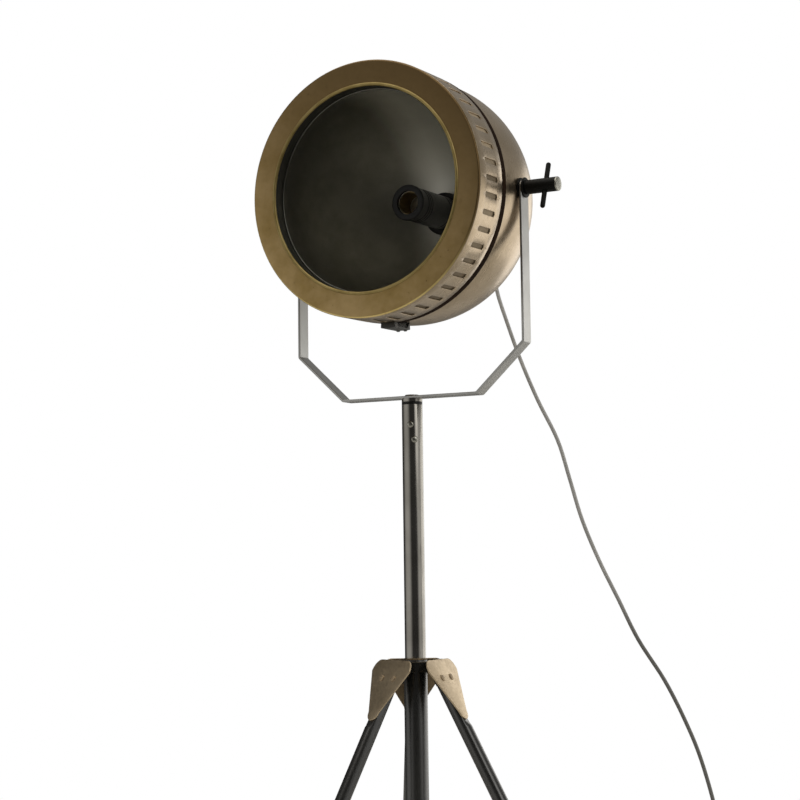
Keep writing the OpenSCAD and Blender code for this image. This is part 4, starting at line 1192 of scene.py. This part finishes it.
@dataclass
class Tripod:
    """The stand: hub plates, column, legs and feet."""

    hub_z: float = HUB_Z
    splay: float = 27.8
    top_r: float = 22.0
    leg_r: float = 8.5
    leg_wall: float = 1.5
    leg_start: float = 7.0
    press_run: float = 8.0
    press_margin: float = 1.0
    foot_r: float = 12.0
    foot_len: float = 46.0
    foot_sole: float = 6.0
    foot_soft: float = 2.0
    foot_grooves: int = 4
    groove_drop: float = 12.0
    groove_pitch: float = 6.0
    groove_half: float = 1.6
    groove_depth: float = 0.9
    plate_t: float = 2.0
    plate_edge: float = 0.5
    plate_seat: float = 5.3
    plate_top_w: float = 53.0
    plate_w: float = 78.0
    plate_shoulder: float = 15.0
    plate_len: float = 78.0
    plate_tip_w: float = 20.0
    back_slope: float = -0.5
    screw_pitch: float = 24.0
    screw_drop: float = 24.0
    screw_r: float = 4.0
    screw_h: float = 1.5
    screw_edge: float = 0.5
    shank_r: float = 2.0
    shank_len: float = 6.0
    column_r: float = 14.0
    column_bore: float = 13.1
    column_len: float = 470.0
    mast_r: float = 12.5
    bush_len: float = 30.0
    bush_flange: float = 2.0
    cap_t: float = 4.0
    cap_reach: float = 12.0
    sides: tuple[tuple[str, float], ...] = (("right", 3.0), ("rear", 123.0), ("left", 243.0))

    def leg_frame(self, angle: float) -> Matrix:
        """A leg's frame: origin on its axis at the top of the hub, x outwards, z up along the leg."""
        return turn(angle, "Z") @ shift(self.top_r, 0, self.hub_z) @ turn(-self.splay, "Y")

    def slant(self) -> float:
        """The distance along a leg's axis from the top of the hub to the floor."""
        return self.hub_z / math.cos(math.radians(self.splay))

    def leg_end(self) -> float:
        """The distance along a leg's axis from the top of the hub to the tube's lower end."""
        lean = math.radians(self.splay)
        return self.slant() - (self.foot_sole + self.leg_r * math.sin(lean)) / math.cos(lean)

    def plate_top(self) -> float:
        """The height of a plate's top edge in its leg's frame."""
        return -self.plate_seat * math.tan(math.radians(self.splay))

    def leg(self, side: str, angle: float) -> None:
        """Makes one leg tube, pressed flat where its plate lies on it.

        Args:
            side: the leg's name.
            angle: where it stands, in degrees from +X.
        """
        r, bore = self.leg_r, self.leg_r - self.leg_wall
        low, high = -self.leg_end(), -self.leg_start
        flat = self.plate_top() - self.plate_len - self.plate_t / 2
        press = flat - self.press_run
        wall = [(bore, low), (r, low), (r, press), (r, flat), (r, high), (bore, high), (bore, flat),
                (bore, press)]
        ends = [0.4, 0.4, 0.0, 0.0, 0.4, 0.4, 0.0, 0.0]
        piece = revolve(f"leg_tube_{side}", rounded(wall, ends, 3), UPRIGHT, LEG_STEPS)
        for corner in piece.data.vertices:
            if corner.co.z > (flat - self.press_margin) * MM:
                inner = math.hypot(corner.co.x, corner.co.y) < (bore + self.leg_wall / 2) * MM
                limit = self.plate_seat - PLAY - (self.leg_wall if inner else 0.0)
                corner.co.x = min(corner.co.x, limit * MM)
        piece.data.transform(self.leg_frame(angle))
        shade(piece.data)
        dress(piece, Body.STAND, BLACK_ENAMEL, Slot.ENAMEL, f"leg_{side}")

    def foot(self, side: str, angle: float) -> None:
        """Moulds one rubber foot with grooves round it, cut level with the floor.

        Args:
            side: the foot's name.
            angle: where its leg stands, in degrees from +X.
        """
        r, soft = self.foot_r, self.foot_soft
        top, low = self.foot_len - self.slant(), -self.slant() - 2 * r
        inside, seat = self.leg_r + PLAY, -self.leg_end() - PLAY
        profile: Line = [(0.0, low), (r, low)]
        for k in reversed(range(self.foot_grooves)):
            mid = top - self.groove_drop - self.groove_pitch * k
            profile += groove(r, mid, self.groove_half, self.groove_depth)
        profile += [(r, top - soft), (r - soft, top), (inside, top), (inside, seat), (0.0, seat)]
        piece = revolve(f"rubber_foot_{side}", profile, self.leg_frame(angle), LEG_STEPS)
        shape = bmesh.new()
        shape.from_mesh(piece.data)
        everything = list(shape.verts) + list(shape.edges) + list(shape.faces)
        cut = bmesh.ops.bisect_plane(
            shape, geom=everything, plane_co=(0, 0, 0), plane_no=(0, 0, 1), clear_inner=True)
        rim = [e for e in cut["geom_cut"] if isinstance(e, bmesh.types.BMEdge)]
        bmesh.ops.contextual_create(shape, geom=rim)
        shape.to_mesh(piece.data)
        shape.free()
        shade(piece.data)
        dress(piece, Body.STAND, RUBBER, Slot.RUBBER, f"foot_{side}")

    def plate_outline(self) -> Line:
        """The plate's shield outline: square top, round shoulders and a narrow round tip."""
        top, half, tip = self.plate_top_w / 2, self.plate_w / 2, self.plate_tip_w / 2
        right = arc((top, -self.plate_shoulder), half - top, 90, 0, 10, self.plate_shoulder)
        right += arc((0.0, tip - self.plate_len), tip, 0, -90, 8)
        return right + [(-x, y) for x, y in right[-2::-1]]

    def plate(self, side: str, angle: float) -> None:
        """Cuts one hub plate.

        Args:
            side: the plate's name.
            angle: where its leg stands, in degrees from +X.
        """
        upright = Matrix(((0, 0, 1, 0), (1, 0, 0, 0), (0, 1, 0, 0), (0, 0, 0, 1)))
        middle = shift(self.plate_seat + self.plate_t / 2, 0, self.plate_top())
        place = self.leg_frame(angle) @ middle @ upright
        piece = flat_plate(
            f"brass_plate_{side}", [self.plate_outline()], self.plate_t, self.plate_edge, place)
        dress(piece, Body.STAND, PLATE_BRASS, Slot.BRASS, f"hub_plate_{side}")
        outwards = place.to_3x3() @ Vector((0, 0, 1))
        # Faces turned inwards get the painted shade.
        second_finish(piece, SHADED_PLATE_BRASS, lambda face: face.normal.dot(outwards) < self.back_slope)

    def screws(self) -> None:
        """Turns the plates' round-headed screws: two on a plate, repeated round the hub."""
        seat, half = self.plate_seat + self.plate_t, self.screw_pitch / 2
        profile = domed_screw(-self.shank_len, 0.0, self.screw_edge, self.screw_h, self.screw_r, self.shank_r)
        hub = self.leg_frame(self.sides[0][1])
        level = self.plate_top() - self.screw_drop
        pair = [revolve("hub_screw", profile, hub @ shift(seat, y, level) @ ALONG_X, PIN_STEPS)
                for y in (half, -half)]
        piece = repeat(merged("hub_screw_heads", pair), len(self.sides), BROWNED_SCREW, UPRIGHT)
        dress(piece, Body.STAND, BROWNED_SCREW, Slot.DARK_NICKEL, "hub_screws")

    def column(self) -> None:
        """Draws the column tube with its bush and its end cap."""
        r, top, low = self.column_r, self.hub_z, self.hub_z - self.column_len
        slip, inside = self.column_bore - PLAY, self.mast_r + PLAY
        wall = rounded(block(self.column_bore, r, low, top), 0.4, 3)
        turned("column_tube", wall, UPRIGHT, Body.STAND, BLACK_ENAMEL, Slot.ENAMEL, "column",
               steps=TUBE_STEPS)
        foot, flange = top - self.bush_len, top + self.bush_flange
        bush = [(inside, foot), (slip, foot), (slip, top), (r, top), (r, flange), (inside, flange)]
        # The bush takes the plates' painted shade.
        turned("column_top_bush", rounded(bush, [0.2, 0.2, 0, 0.2, 0.9, 0.3], 3), UPRIGHT, Body.STAND,
               SHADED_PLATE_BRASS, Slot.PLASTIC, "column_bush", steps=TUBE_STEPS)
        under, over = low - self.cap_t, low + self.cap_reach
        cap = [(0.0, under), (r, under), (r, low), (slip, low), (slip, over), (0.0, over)]
        turned("column_cap", rounded(cap, [0, 1.5, 0.2, 0, 0.5, 0]), UPRIGHT, Body.STAND, PHENOLIC,
               Slot.PLASTIC, "column_end_cap", steps=LEG_STEPS)

    def build(self) -> None:
        """Builds every piece of the stand but the cord."""
        for side, angle in self.sides:
            self.leg(side, angle)
            self.foot(side, angle)
            self.plate(side, angle)
        self.screws()
        self.column()


@dataclass
class LiftKnob:
    """The lobed thumb screw that holds the mast's height."""

    hub_z: float = HUB_Z
    drop: float = 8.5
    angle: float = 63.0
    boss_reach: float = 29.25
    knob_r: float = 8.4
    knob_h: float = 12.0
    knob_edge: float = 1.6
    lobes: int = 6
    lobe_depth: float = 0.9
    facets: int = 72
    shank_r: float = 3.0
    shank_tip: float = 12.55
    shank_hold: float = 1.0

    def build(self) -> None:
        """Moulds the knob and turns its shank."""
        place = shift(z=self.hub_z - self.drop) @ turn(self.angle, "Z") @ ALONG_X
        turns = [2 * math.pi * k / self.facets for k in range(self.facets)]
        wave = [self.knob_r - self.lobe_depth * (1 - math.cos(self.lobes * a)) for a in turns]
        outline = [(r * math.cos(a), r * math.sin(a)) for r, a in zip(wave, turns)]
        middle = place @ shift(z=self.boss_reach + self.knob_h / 2)
        knob = flat_plate("lift_knob_head", [outline], self.knob_h, self.knob_edge, middle, 4)
        dress(knob, Body.KNOB, PHENOLIC, Slot.PLASTIC, "lift_knob")
        shank = block(0.0, self.shank_r, self.shank_tip, self.boss_reach + self.shank_hold)
        turned("lift_knob_shank", rounded(shank, [0, 0.4, 0, 0], 3), place, Body.KNOB, ZINC, Slot.STEEL,
               steps=ROD_STEPS)


@dataclass
class FootSwitch:
    """The foot switch on the cord."""

    mid: Pair = (365.0, 195.0)
    width: float = 36.0
    length: float = 90.0
    height: float = 22.0
    split: float = 10.0
    split_gap: float = 0.15
    split_shift: float = 0.07
    corner: float = 12.0
    base_edge: float = 1.2
    cover_edge: float = 3.0
    button_r: float = 11.0
    button_gap: float = 0.3
    button_proud: float = 4.5
    button_crown: float = 1.0
    travel: float = 3.0
    travel_spare: float = 0.5

    def build(self) -> list[Piece]:
        """Moulds the base, the cover and the button.

        Returns:
            The three pieces.
        """
        place = shift(*self.mid)
        outline = rounded_box(self.width, self.length, self.corner)
        base = flat_plate("switch_base_tray", [outline], self.split - self.split_gap, self.base_edge,
                          place @ shift(z=self.split / 2 - self.split_shift))
        dress(base, Body.STAND, PHENOLIC, Slot.PLASTIC, "switch_base")
        top = self.height - self.split
        hole = circle(self.button_r + self.button_gap)
        cover = flat_plate("switch_cover_shell", [outline, hole], top - self.split_gap, self.cover_edge,
                           place @ shift(z=self.split + top / 2 + self.split_shift), 5)
        dress(cover, Body.STAND, PHENOLIC, Slot.PLASTIC, "switch_cover")
        low = self.split + self.travel + self.travel_spare
        high = self.height + self.button_proud
        crown = [(0.0, low), (self.button_r, low), (self.button_r, high - self.button_crown), (0.0, high)]
        button = turned("switch_button_cap", rounded(crown, [0, 0.4, 2.0, 0]), place, Body.BUTTON, PHENOLIC,
                        Slot.PLASTIC, "switch_button")
        return [base, cover, button]


@dataclass
class Plug:
    """The flat two-pin plug beside the coil."""

    back: Triple = (254.0, 200.0, 8.0)
    width: float = 36.0
    length: float = 42.0
    height: float = 16.0
    corner: float = 7.0
    edge: float = 3.5
    neck: float = 10.0
    neck_tip_r: float = 4.5
    neck_root_r: float = 6.5
    neck_hold: float = 3.0
    ribs: int = 4
    rib_depth: float = 0.8
    pin_r: float = 2.0
    pin_len: float = 19.0
    pin_hold: float = 1.0
    pin_pitch: float = 18.6

    def build(self) -> list[Piece]:
        """Moulds the body with its ribbed neck, and turns the pins.

        Returns:
            The plug's pieces.
        """
        x, y, z = self.back
        run, depth = self.length - self.neck, self.rib_depth
        body = flat_plate("plug_block", [rounded_box(self.width, run, self.corner)], self.height, self.edge,
                          shift(x, y + self.neck + run / 2, z), 5)
        dress(body, Body.STAND, PHENOLIC, Slot.PLASTIC, "plug_body")
        root, end = self.neck_root_r, self.neck + self.neck_hold
        neck = [(0.0, 0.0)] + ribbed((self.neck_tip_r, 0.0), (root, self.neck), self.ribs,
                                     ((0.0, 0.0), (0.4, 0.0), (0.55, depth), (0.85, depth)))
        neck += [(root, self.neck), (root, end), (0.0, end)]
        collar = turned("plug_neck", neck, shift(x, y, z) @ ALONG_Y, Body.STAND, PHENOLIC, Slot.PLASTIC,
                        steps=ROD_STEPS)
        pin = rounded(block(0.0, self.pin_r, -self.pin_hold, self.pin_len), [0, 0, 1.2, 0])
        seed = revolve("plug_pin_pair", pin, shift(-self.pin_pitch / 2), PIN_STEPS)
        pins = repeat(seed, 2, ZINC, shift(x, y + self.length, z) @ ALONG_Y)
        dress(pins, Body.STAND, ZINC, Slot.STEEL, "plug_pins")
        return [body, collar, pins]


@dataclass
class Cord:
    """The mains cord: its fall from the head to the foot switch, and the coil that ends in the plug."""

    radius: float = 2.5
    pivot_z: float = PIVOT_Z
    nod: float = NOD
    drum_drop: float = DRUM_DROP
    exit_d: float = 187.0
    end_gap: float = 0.2
    out: float = 18.0
    switch_in: Triple = (365.0, 240.0, 8.0)
    switch_out: Triple = (365.0, 150.0, 8.0)
    coil_mid: Pair = (292.0, 150.0)
    coil_r: float = 38.0
    coil_turns: float = 2.875
    coil_pitch: float = 6.3
    coil_layer: float = 5.8
    coil_climb: float = 0.5
    coil_low: float = 3.9
    coil_rings: int = 36
    coil_sides: int = 12
    plug_y: float = 200.0
    tail: tuple[float, ...] = (12.0, 24.0, 36.0, 46.0)
    tail_climb: float = 36.0
    tie_angle: float = 45.0
    tie_t: float = 1.0
    tie_w: float = 8.0
    tie_room: float = 0.8
    tie_edge: float = 0.25
    tie_corner: float = 2.0
    steps: int = 6
    fall: tuple[Triple, ...] = (
        (0, 222, 1239), (1, 230, 1218), (2, 231, 1190), (5, 230, 1160), (17, 231, 1121), (35, 235, 1067),
        (56, 241, 1013), (80, 248, 960), (95, 251, 908), (110, 253, 856), (130, 258, 804), (153, 265, 753),
        (176, 272, 702), (206, 282, 651), (229, 290, 601), (248, 295, 550), (266, 298, 480), (281, 300, 400),
        (292, 301, 310), (299, 301, 220), (303, 300, 130), (308, 298, 72), (317, 294, 34), (330, 287, 12),
        (346, 276, 4), (358, 262, 4))
    lead_in: tuple[Triple, ...] = (
        (365, 142, 8), (363, 129, 7), (355, 118, 5), (340, 112.5, 4), (318, 112, 3.9))
    yoke_point: int = 6
    mast_point: int = 15
    free_point: int = 20

    def smooth(self, points: Sequence[Vector]) -> list[Vector]:
        """A smooth line through points, in metres.

        Args:
            points: the route, in millimetres.

        Returns:
            The line's points, with the route's own among them.
        """
        last = len(points) - 1
        line = []
        for i in range(last):
            a, b, c, d = points[max(i - 1, 0)], points[i], points[i + 1], points[min(i + 2, last)]
            for k in range(self.steps):
                s = k / self.steps
                line.append((2 * b + (c - a) * s + (2 * a - 5 * b + 4 * c - d) * s ** 2
                             + (3 * b - a - 3 * c + d) * s ** 3) * 0.5 * MM)
        return line + [points[last] * MM]

    def exit_point(self) -> Vector:
        """Where the cord leaves the strain relief, in millimetres."""
        lean = math.radians(self.nod)
        return (Vector((0, self.exit_d * math.cos(lean), self.pivot_z + self.exit_d * math.sin(lean)))
                + self.drum_drop * Vector((0, math.sin(lean), -math.cos(lean))))

    def coil_line(self) -> list[Vector]:
        """The coil's line in metres, from the foot switch to the plug."""
        total = 2 * self.coil_turns + self.coil_climb
        inner = self.coil_r - self.coil_pitch * self.coil_turns
        turns = []
        for i in range(int(self.coil_rings * total) + 1):
            a = i / self.coil_rings
            r = max(inner, self.coil_r - self.coil_pitch * a, self.coil_r - self.coil_pitch * (total - a))
            climb = min(1.0, max(0.0, (a - self.coil_turns) / self.coil_climb))
            z = self.coil_low + self.coil_layer * (1 - math.cos(math.pi * climb)) / 2
            angle = math.radians(-90 - 360 * a)
            x, y = self.coil_mid[0] + r * math.cos(angle), self.coil_mid[1] + r * math.sin(angle)
            turns.append(Vector((x, y, z)))
        left, rest = turns[-1], self.switch_out[2]
        tail = [left + Vector((0, s, (rest - left.z) * min(1.0, s / self.tail_climb))) for s in self.tail]
        start = Vector(self.switch_out) - Vector((0, self.end_gap, 0))
        lead = self.smooth([start] + [Vector(p) for p in self.lead_in] + [turns[0]])
        end = Vector((left.x, self.plug_y - self.end_gap, rest))
        return lead[:-1] + [p * MM for p in turns] + self.smooth([left] + tail + [end])[1:]

    def tie(self) -> Piece:
        """Loops the strap round the coil's turns."""
        t, corner = self.tie_t, self.tie_corner
        inside = self.coil_r - self.coil_pitch * self.coil_turns - self.radius - self.tie_room
        outside = self.coil_r + self.radius + self.tie_room
        height, width = self.coil_layer + 2 * self.radius + self.tie_room, outside - inside
        place = (shift(self.coil_mid[0], self.coil_mid[1], t + height / 2) @ turn(self.tie_angle, "Z")
                 @ shift((inside + outside) / 2) @ turn(90, "X"))
        loops = [rounded_box(width + 2 * t, height + 2 * t, corner + t), rounded_box(width, height, corner)]
        piece = flat_plate("coil_strap", loops, self.tie_w, self.tie_edge, place, 2)
        return dress(piece, Body.STAND, PHENOLIC, Slot.PLASTIC, "coil_tie")

    def length(self, line: Sequence[Vector]) -> float:
        """The length of a line of points."""
        return sum((b - a).length for a, b in zip(line, line[1:]))

    def build(self, switch: list[Piece], plug: list[Piece]) -> None:
        """Lays the cord, in a piece for each joint that it passes, and the coil.

        Args:
            switch: not used.
            plug: the plug's pieces.
        """
        leave, end = self.exit_point(), Vector(self.switch_in)
        lean = math.radians(self.nod)
        away = Vector((0, math.cos(lean), math.sin(lean)))
        route = [leave + away * self.end_gap, leave + away * self.out] + [Vector(p) for p in self.fall]
        route += [end + Vector((0, 4 * self.radius, 0)), end + Vector((0, self.end_gap, 0))]
        line = self.smooth(route)
        marks = [0] + [(n + 2) * self.steps for n in (self.yoke_point, self.mast_point)] + [len(line) - 1]
        names = ("cord_from_head", "cord_past_yoke", "cord_to_switch")
        bodies = ((Body.HEAD, Body.YOKE), (Body.YOKE, Body.MAST), (Body.MAST, Body.STAND))
        for i, (name, (upper, lower)) in enumerate(zip(names, bodies)):
            part = line[marks[i]:marks[i + 1] + 1]
            piece = tube(name, part, self.radius * MM)
            dress(piece, None, JACKET, Slot.CORD)
            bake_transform(piece)
            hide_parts("cord_drop")
            self.length(part)
        line = self.coil_line()
        coil = tube("cord_coil_tube", line, self.radius * MM, self.coil_sides)
        dress(coil, Body.STAND, JACKET, Slot.CORD, "cord_coil")
        self.length(line)
        plug + [self.tie()]


@dataclass(frozen=True)
class Glow:
    """A soft bright place in the room: azimuth from the front towards +X, elevation, strength, spread."""

    azimuth: float
    elevation: float
    strength: float
    spread: float

    def direction(self) -> Triple:
        """The unit vector towards the glow."""
        a, e = math.radians(self.azimuth), math.radians(self.elevation)
        return math.sin(a) * math.cos(e), -math.cos(a) * math.cos(e), math.sin(e)


@dataclass(frozen=True)
class Softbox:
    """A soft oblong light: its place, what it faces, its width and height in metres, watts and colour."""

    name: str
    place: Triple
    aim: Triple
    size: Pair
    power: float
    colour: str

    def build(self) -> None:
        """Hangs the light, unseen by the camera."""
        data = bpy.data.lights.new(self.name, "AREA")
        data.shape = "RECTANGLE"
        data.size, data.size_y = self.size
        data.energy = self.power
        data.color = linear(self.colour)[:3]
        light = as_object(self.name, data)
        light.visible_camera = False
        light.location = self.place
        light.rotation_euler = (Vector(self.aim) - Vector(self.place)).to_track_quat("-Z", "Y").to_euler()


@dataclass
class Studio:
    """The camera at the photograph's angle, a pale floor and soft light."""

    azimuth: float = 28.5
    distance: float = 2290.0
    height: float = 790.3
    pitch: float = 5.2
    yaw: float = 0.364
    roll: float = 0.73
    lens: float = 85.58
    sensor: float = 36.0
    floor_r: float = 3.0
    room_light: float = 0.06
    room_colour: str = "#fffdf8"
    glows: tuple[Glow, ...] = (
        Glow(-46.0, -2.0, 0.62, 52.0), Glow(97.0, 2.0, 0.65, 36.0), Glow(74.0, 34.0, 2.0, 27.0),
        Glow(165.0, 12.0, 0.32, 60.0))
    softboxes: tuple[Softbox, ...] = (
        Softbox("rear right softbox", (1.95, 2.3, 0.8), (0.0, 0.0, 0.8), (2.0, 1.7), 12.5, "#fffcf6"),
        Softbox("rear softbox", (0.4, 3.1, 1.25), (0.0, 0.0, 1.0), (1.4, 1.9), 12.0, "#fffcf6"),
        Softbox("ceiling softbox", (-0.3, -0.5, 3.4), (-0.3, -0.5, 0.0), (3.0, 3.0), 45.0, "#fffaf2"))

    def camera(self) -> None:
        """Sets the camera."""
        data = bpy.data.cameras.new("camera")
        data.sensor_width = self.sensor
        data.lens = self.lens
        eye = as_object("camera", data)
        a = math.radians(self.azimuth)
        place = shift(math.sin(a) * self.distance, -math.cos(a) * self.distance, self.height)
        eye.matrix_world = (place @ turn(self.azimuth + self.yaw, "Z") @ turn(90 + self.pitch, "X")
                            @ turn(-self.roll, "Z"))
        bpy.context.scene.camera = eye

    def floor(self) -> None:
        """Lays a pale round floor."""
        shape = bmesh.new()
        bmesh.ops.create_circle(shape, cap_ends=True, segments=TUBE_STEPS, radius=self.floor_r)
        piece = from_bmesh("floor", shape)
        piece.data.materials.append(PALE_FLOOR.material())

    def world(self) -> None:
        """Lights the room: bright behind and beside the lamp, dimmer where the camera stands."""
        world = bpy.data.worlds.new("studio")
        bpy.context.scene.world = world
        world.use_nodes = True
        tree = world.node_tree
        tree.nodes.clear()
        seen = add_node(tree, "ShaderNodeTexCoord").outputs["Generated"]
        level: Any = self.room_light
        for glow in self.glows:
            facing = add_node(tree, "ShaderNodeVectorMath", {0: seen, 1: glow.direction()},
                              operation="DOT_PRODUCT")
            spread = add_node(tree, "ShaderNodeMapRange", {
                "Value": facing.outputs["Value"], "From Min": math.cos(math.radians(glow.spread)),
                "From Max": 1.0, "To Max": glow.strength}, interpolation_type="SMOOTHSTEP").outputs["Result"]
            level = add_node(tree, "ShaderNodeMath", {0: spread, 1: level}, operation="ADD").outputs[0]
        room = add_node(tree, "ShaderNodeBackground", {"Color": linear(self.room_colour), "Strength": level})
        plain = add_node(tree, "ShaderNodeBackground", {"Color": (1.0, 1.0, 1.0, 1.0), "Strength": 1.0})
        ray = add_node(tree, "ShaderNodeLightPath").outputs["Is Camera Ray"]
        both = add_node(tree, "ShaderNodeMixShader", {0: ray, 1: room.outputs[0], 2: plain.outputs[0]})
        add_node(tree, "ShaderNodeOutputWorld", {"Surface": both.outputs[0]})

    def build(self) -> None:
        """Sets up the whole studio."""
        bpy.context.scene.view_settings.view_transform = "Standard"
        self.camera()
        self.floor()
        self.world()
        for softbox in self.softboxes:
            softbox.build()


KEPT_NODES: dict[Finish, tuple[str, ...]] = {
    MATT_ENAMEL: ("pivot_spacer_right", "pivot_spacer_left"),
    BLACK_NICKEL: ("yoke_spigot",),
    SATIN_NICKEL: ("yoke_bolt",),
    SHADED_BRONZE: ("vent_liner",),
    PHENOLIC: ("mast_glide", "mast_bush"),
    STEATITE: ("holder_insulator",),
    DRAWN_BRASS: ("nipple",),
    DARK_BRASS: ("holder_thread", "holder_contact"),
    JACKET: ("inner_lead",),
    ZINC: ("nipple_nut", "pivot_nut_right", "pivot_nut_left"),
    BLACK_ENAMEL: ("clip_screws",),
    HUB_ENAMEL: ("hub_core",),
}


def paint_kept_nodes() -> None:
    """Gives each node that keeps its own mesh its finish."""
    for finish, names in KEPT_NODES.items():
        for name in names:
            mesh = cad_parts[name].data
            mesh.materials.clear()
            mesh.materials.append(finish.material())


def main() -> None:
    """Builds the lamp and its studio in order."""
    logging.basicConfig(level=logging.INFO, format="%(name)s: %(message)s")
    Studio().build()
    Cord().build(FootSwitch().build(), Plug().build())
    Tripod().build()
    LiftKnob().build()
    Mast().build()
    Yoke().build()
    Handle().build()
    Head().build()
    paint_kept_nodes()


if __name__ == "__main__":
    main()
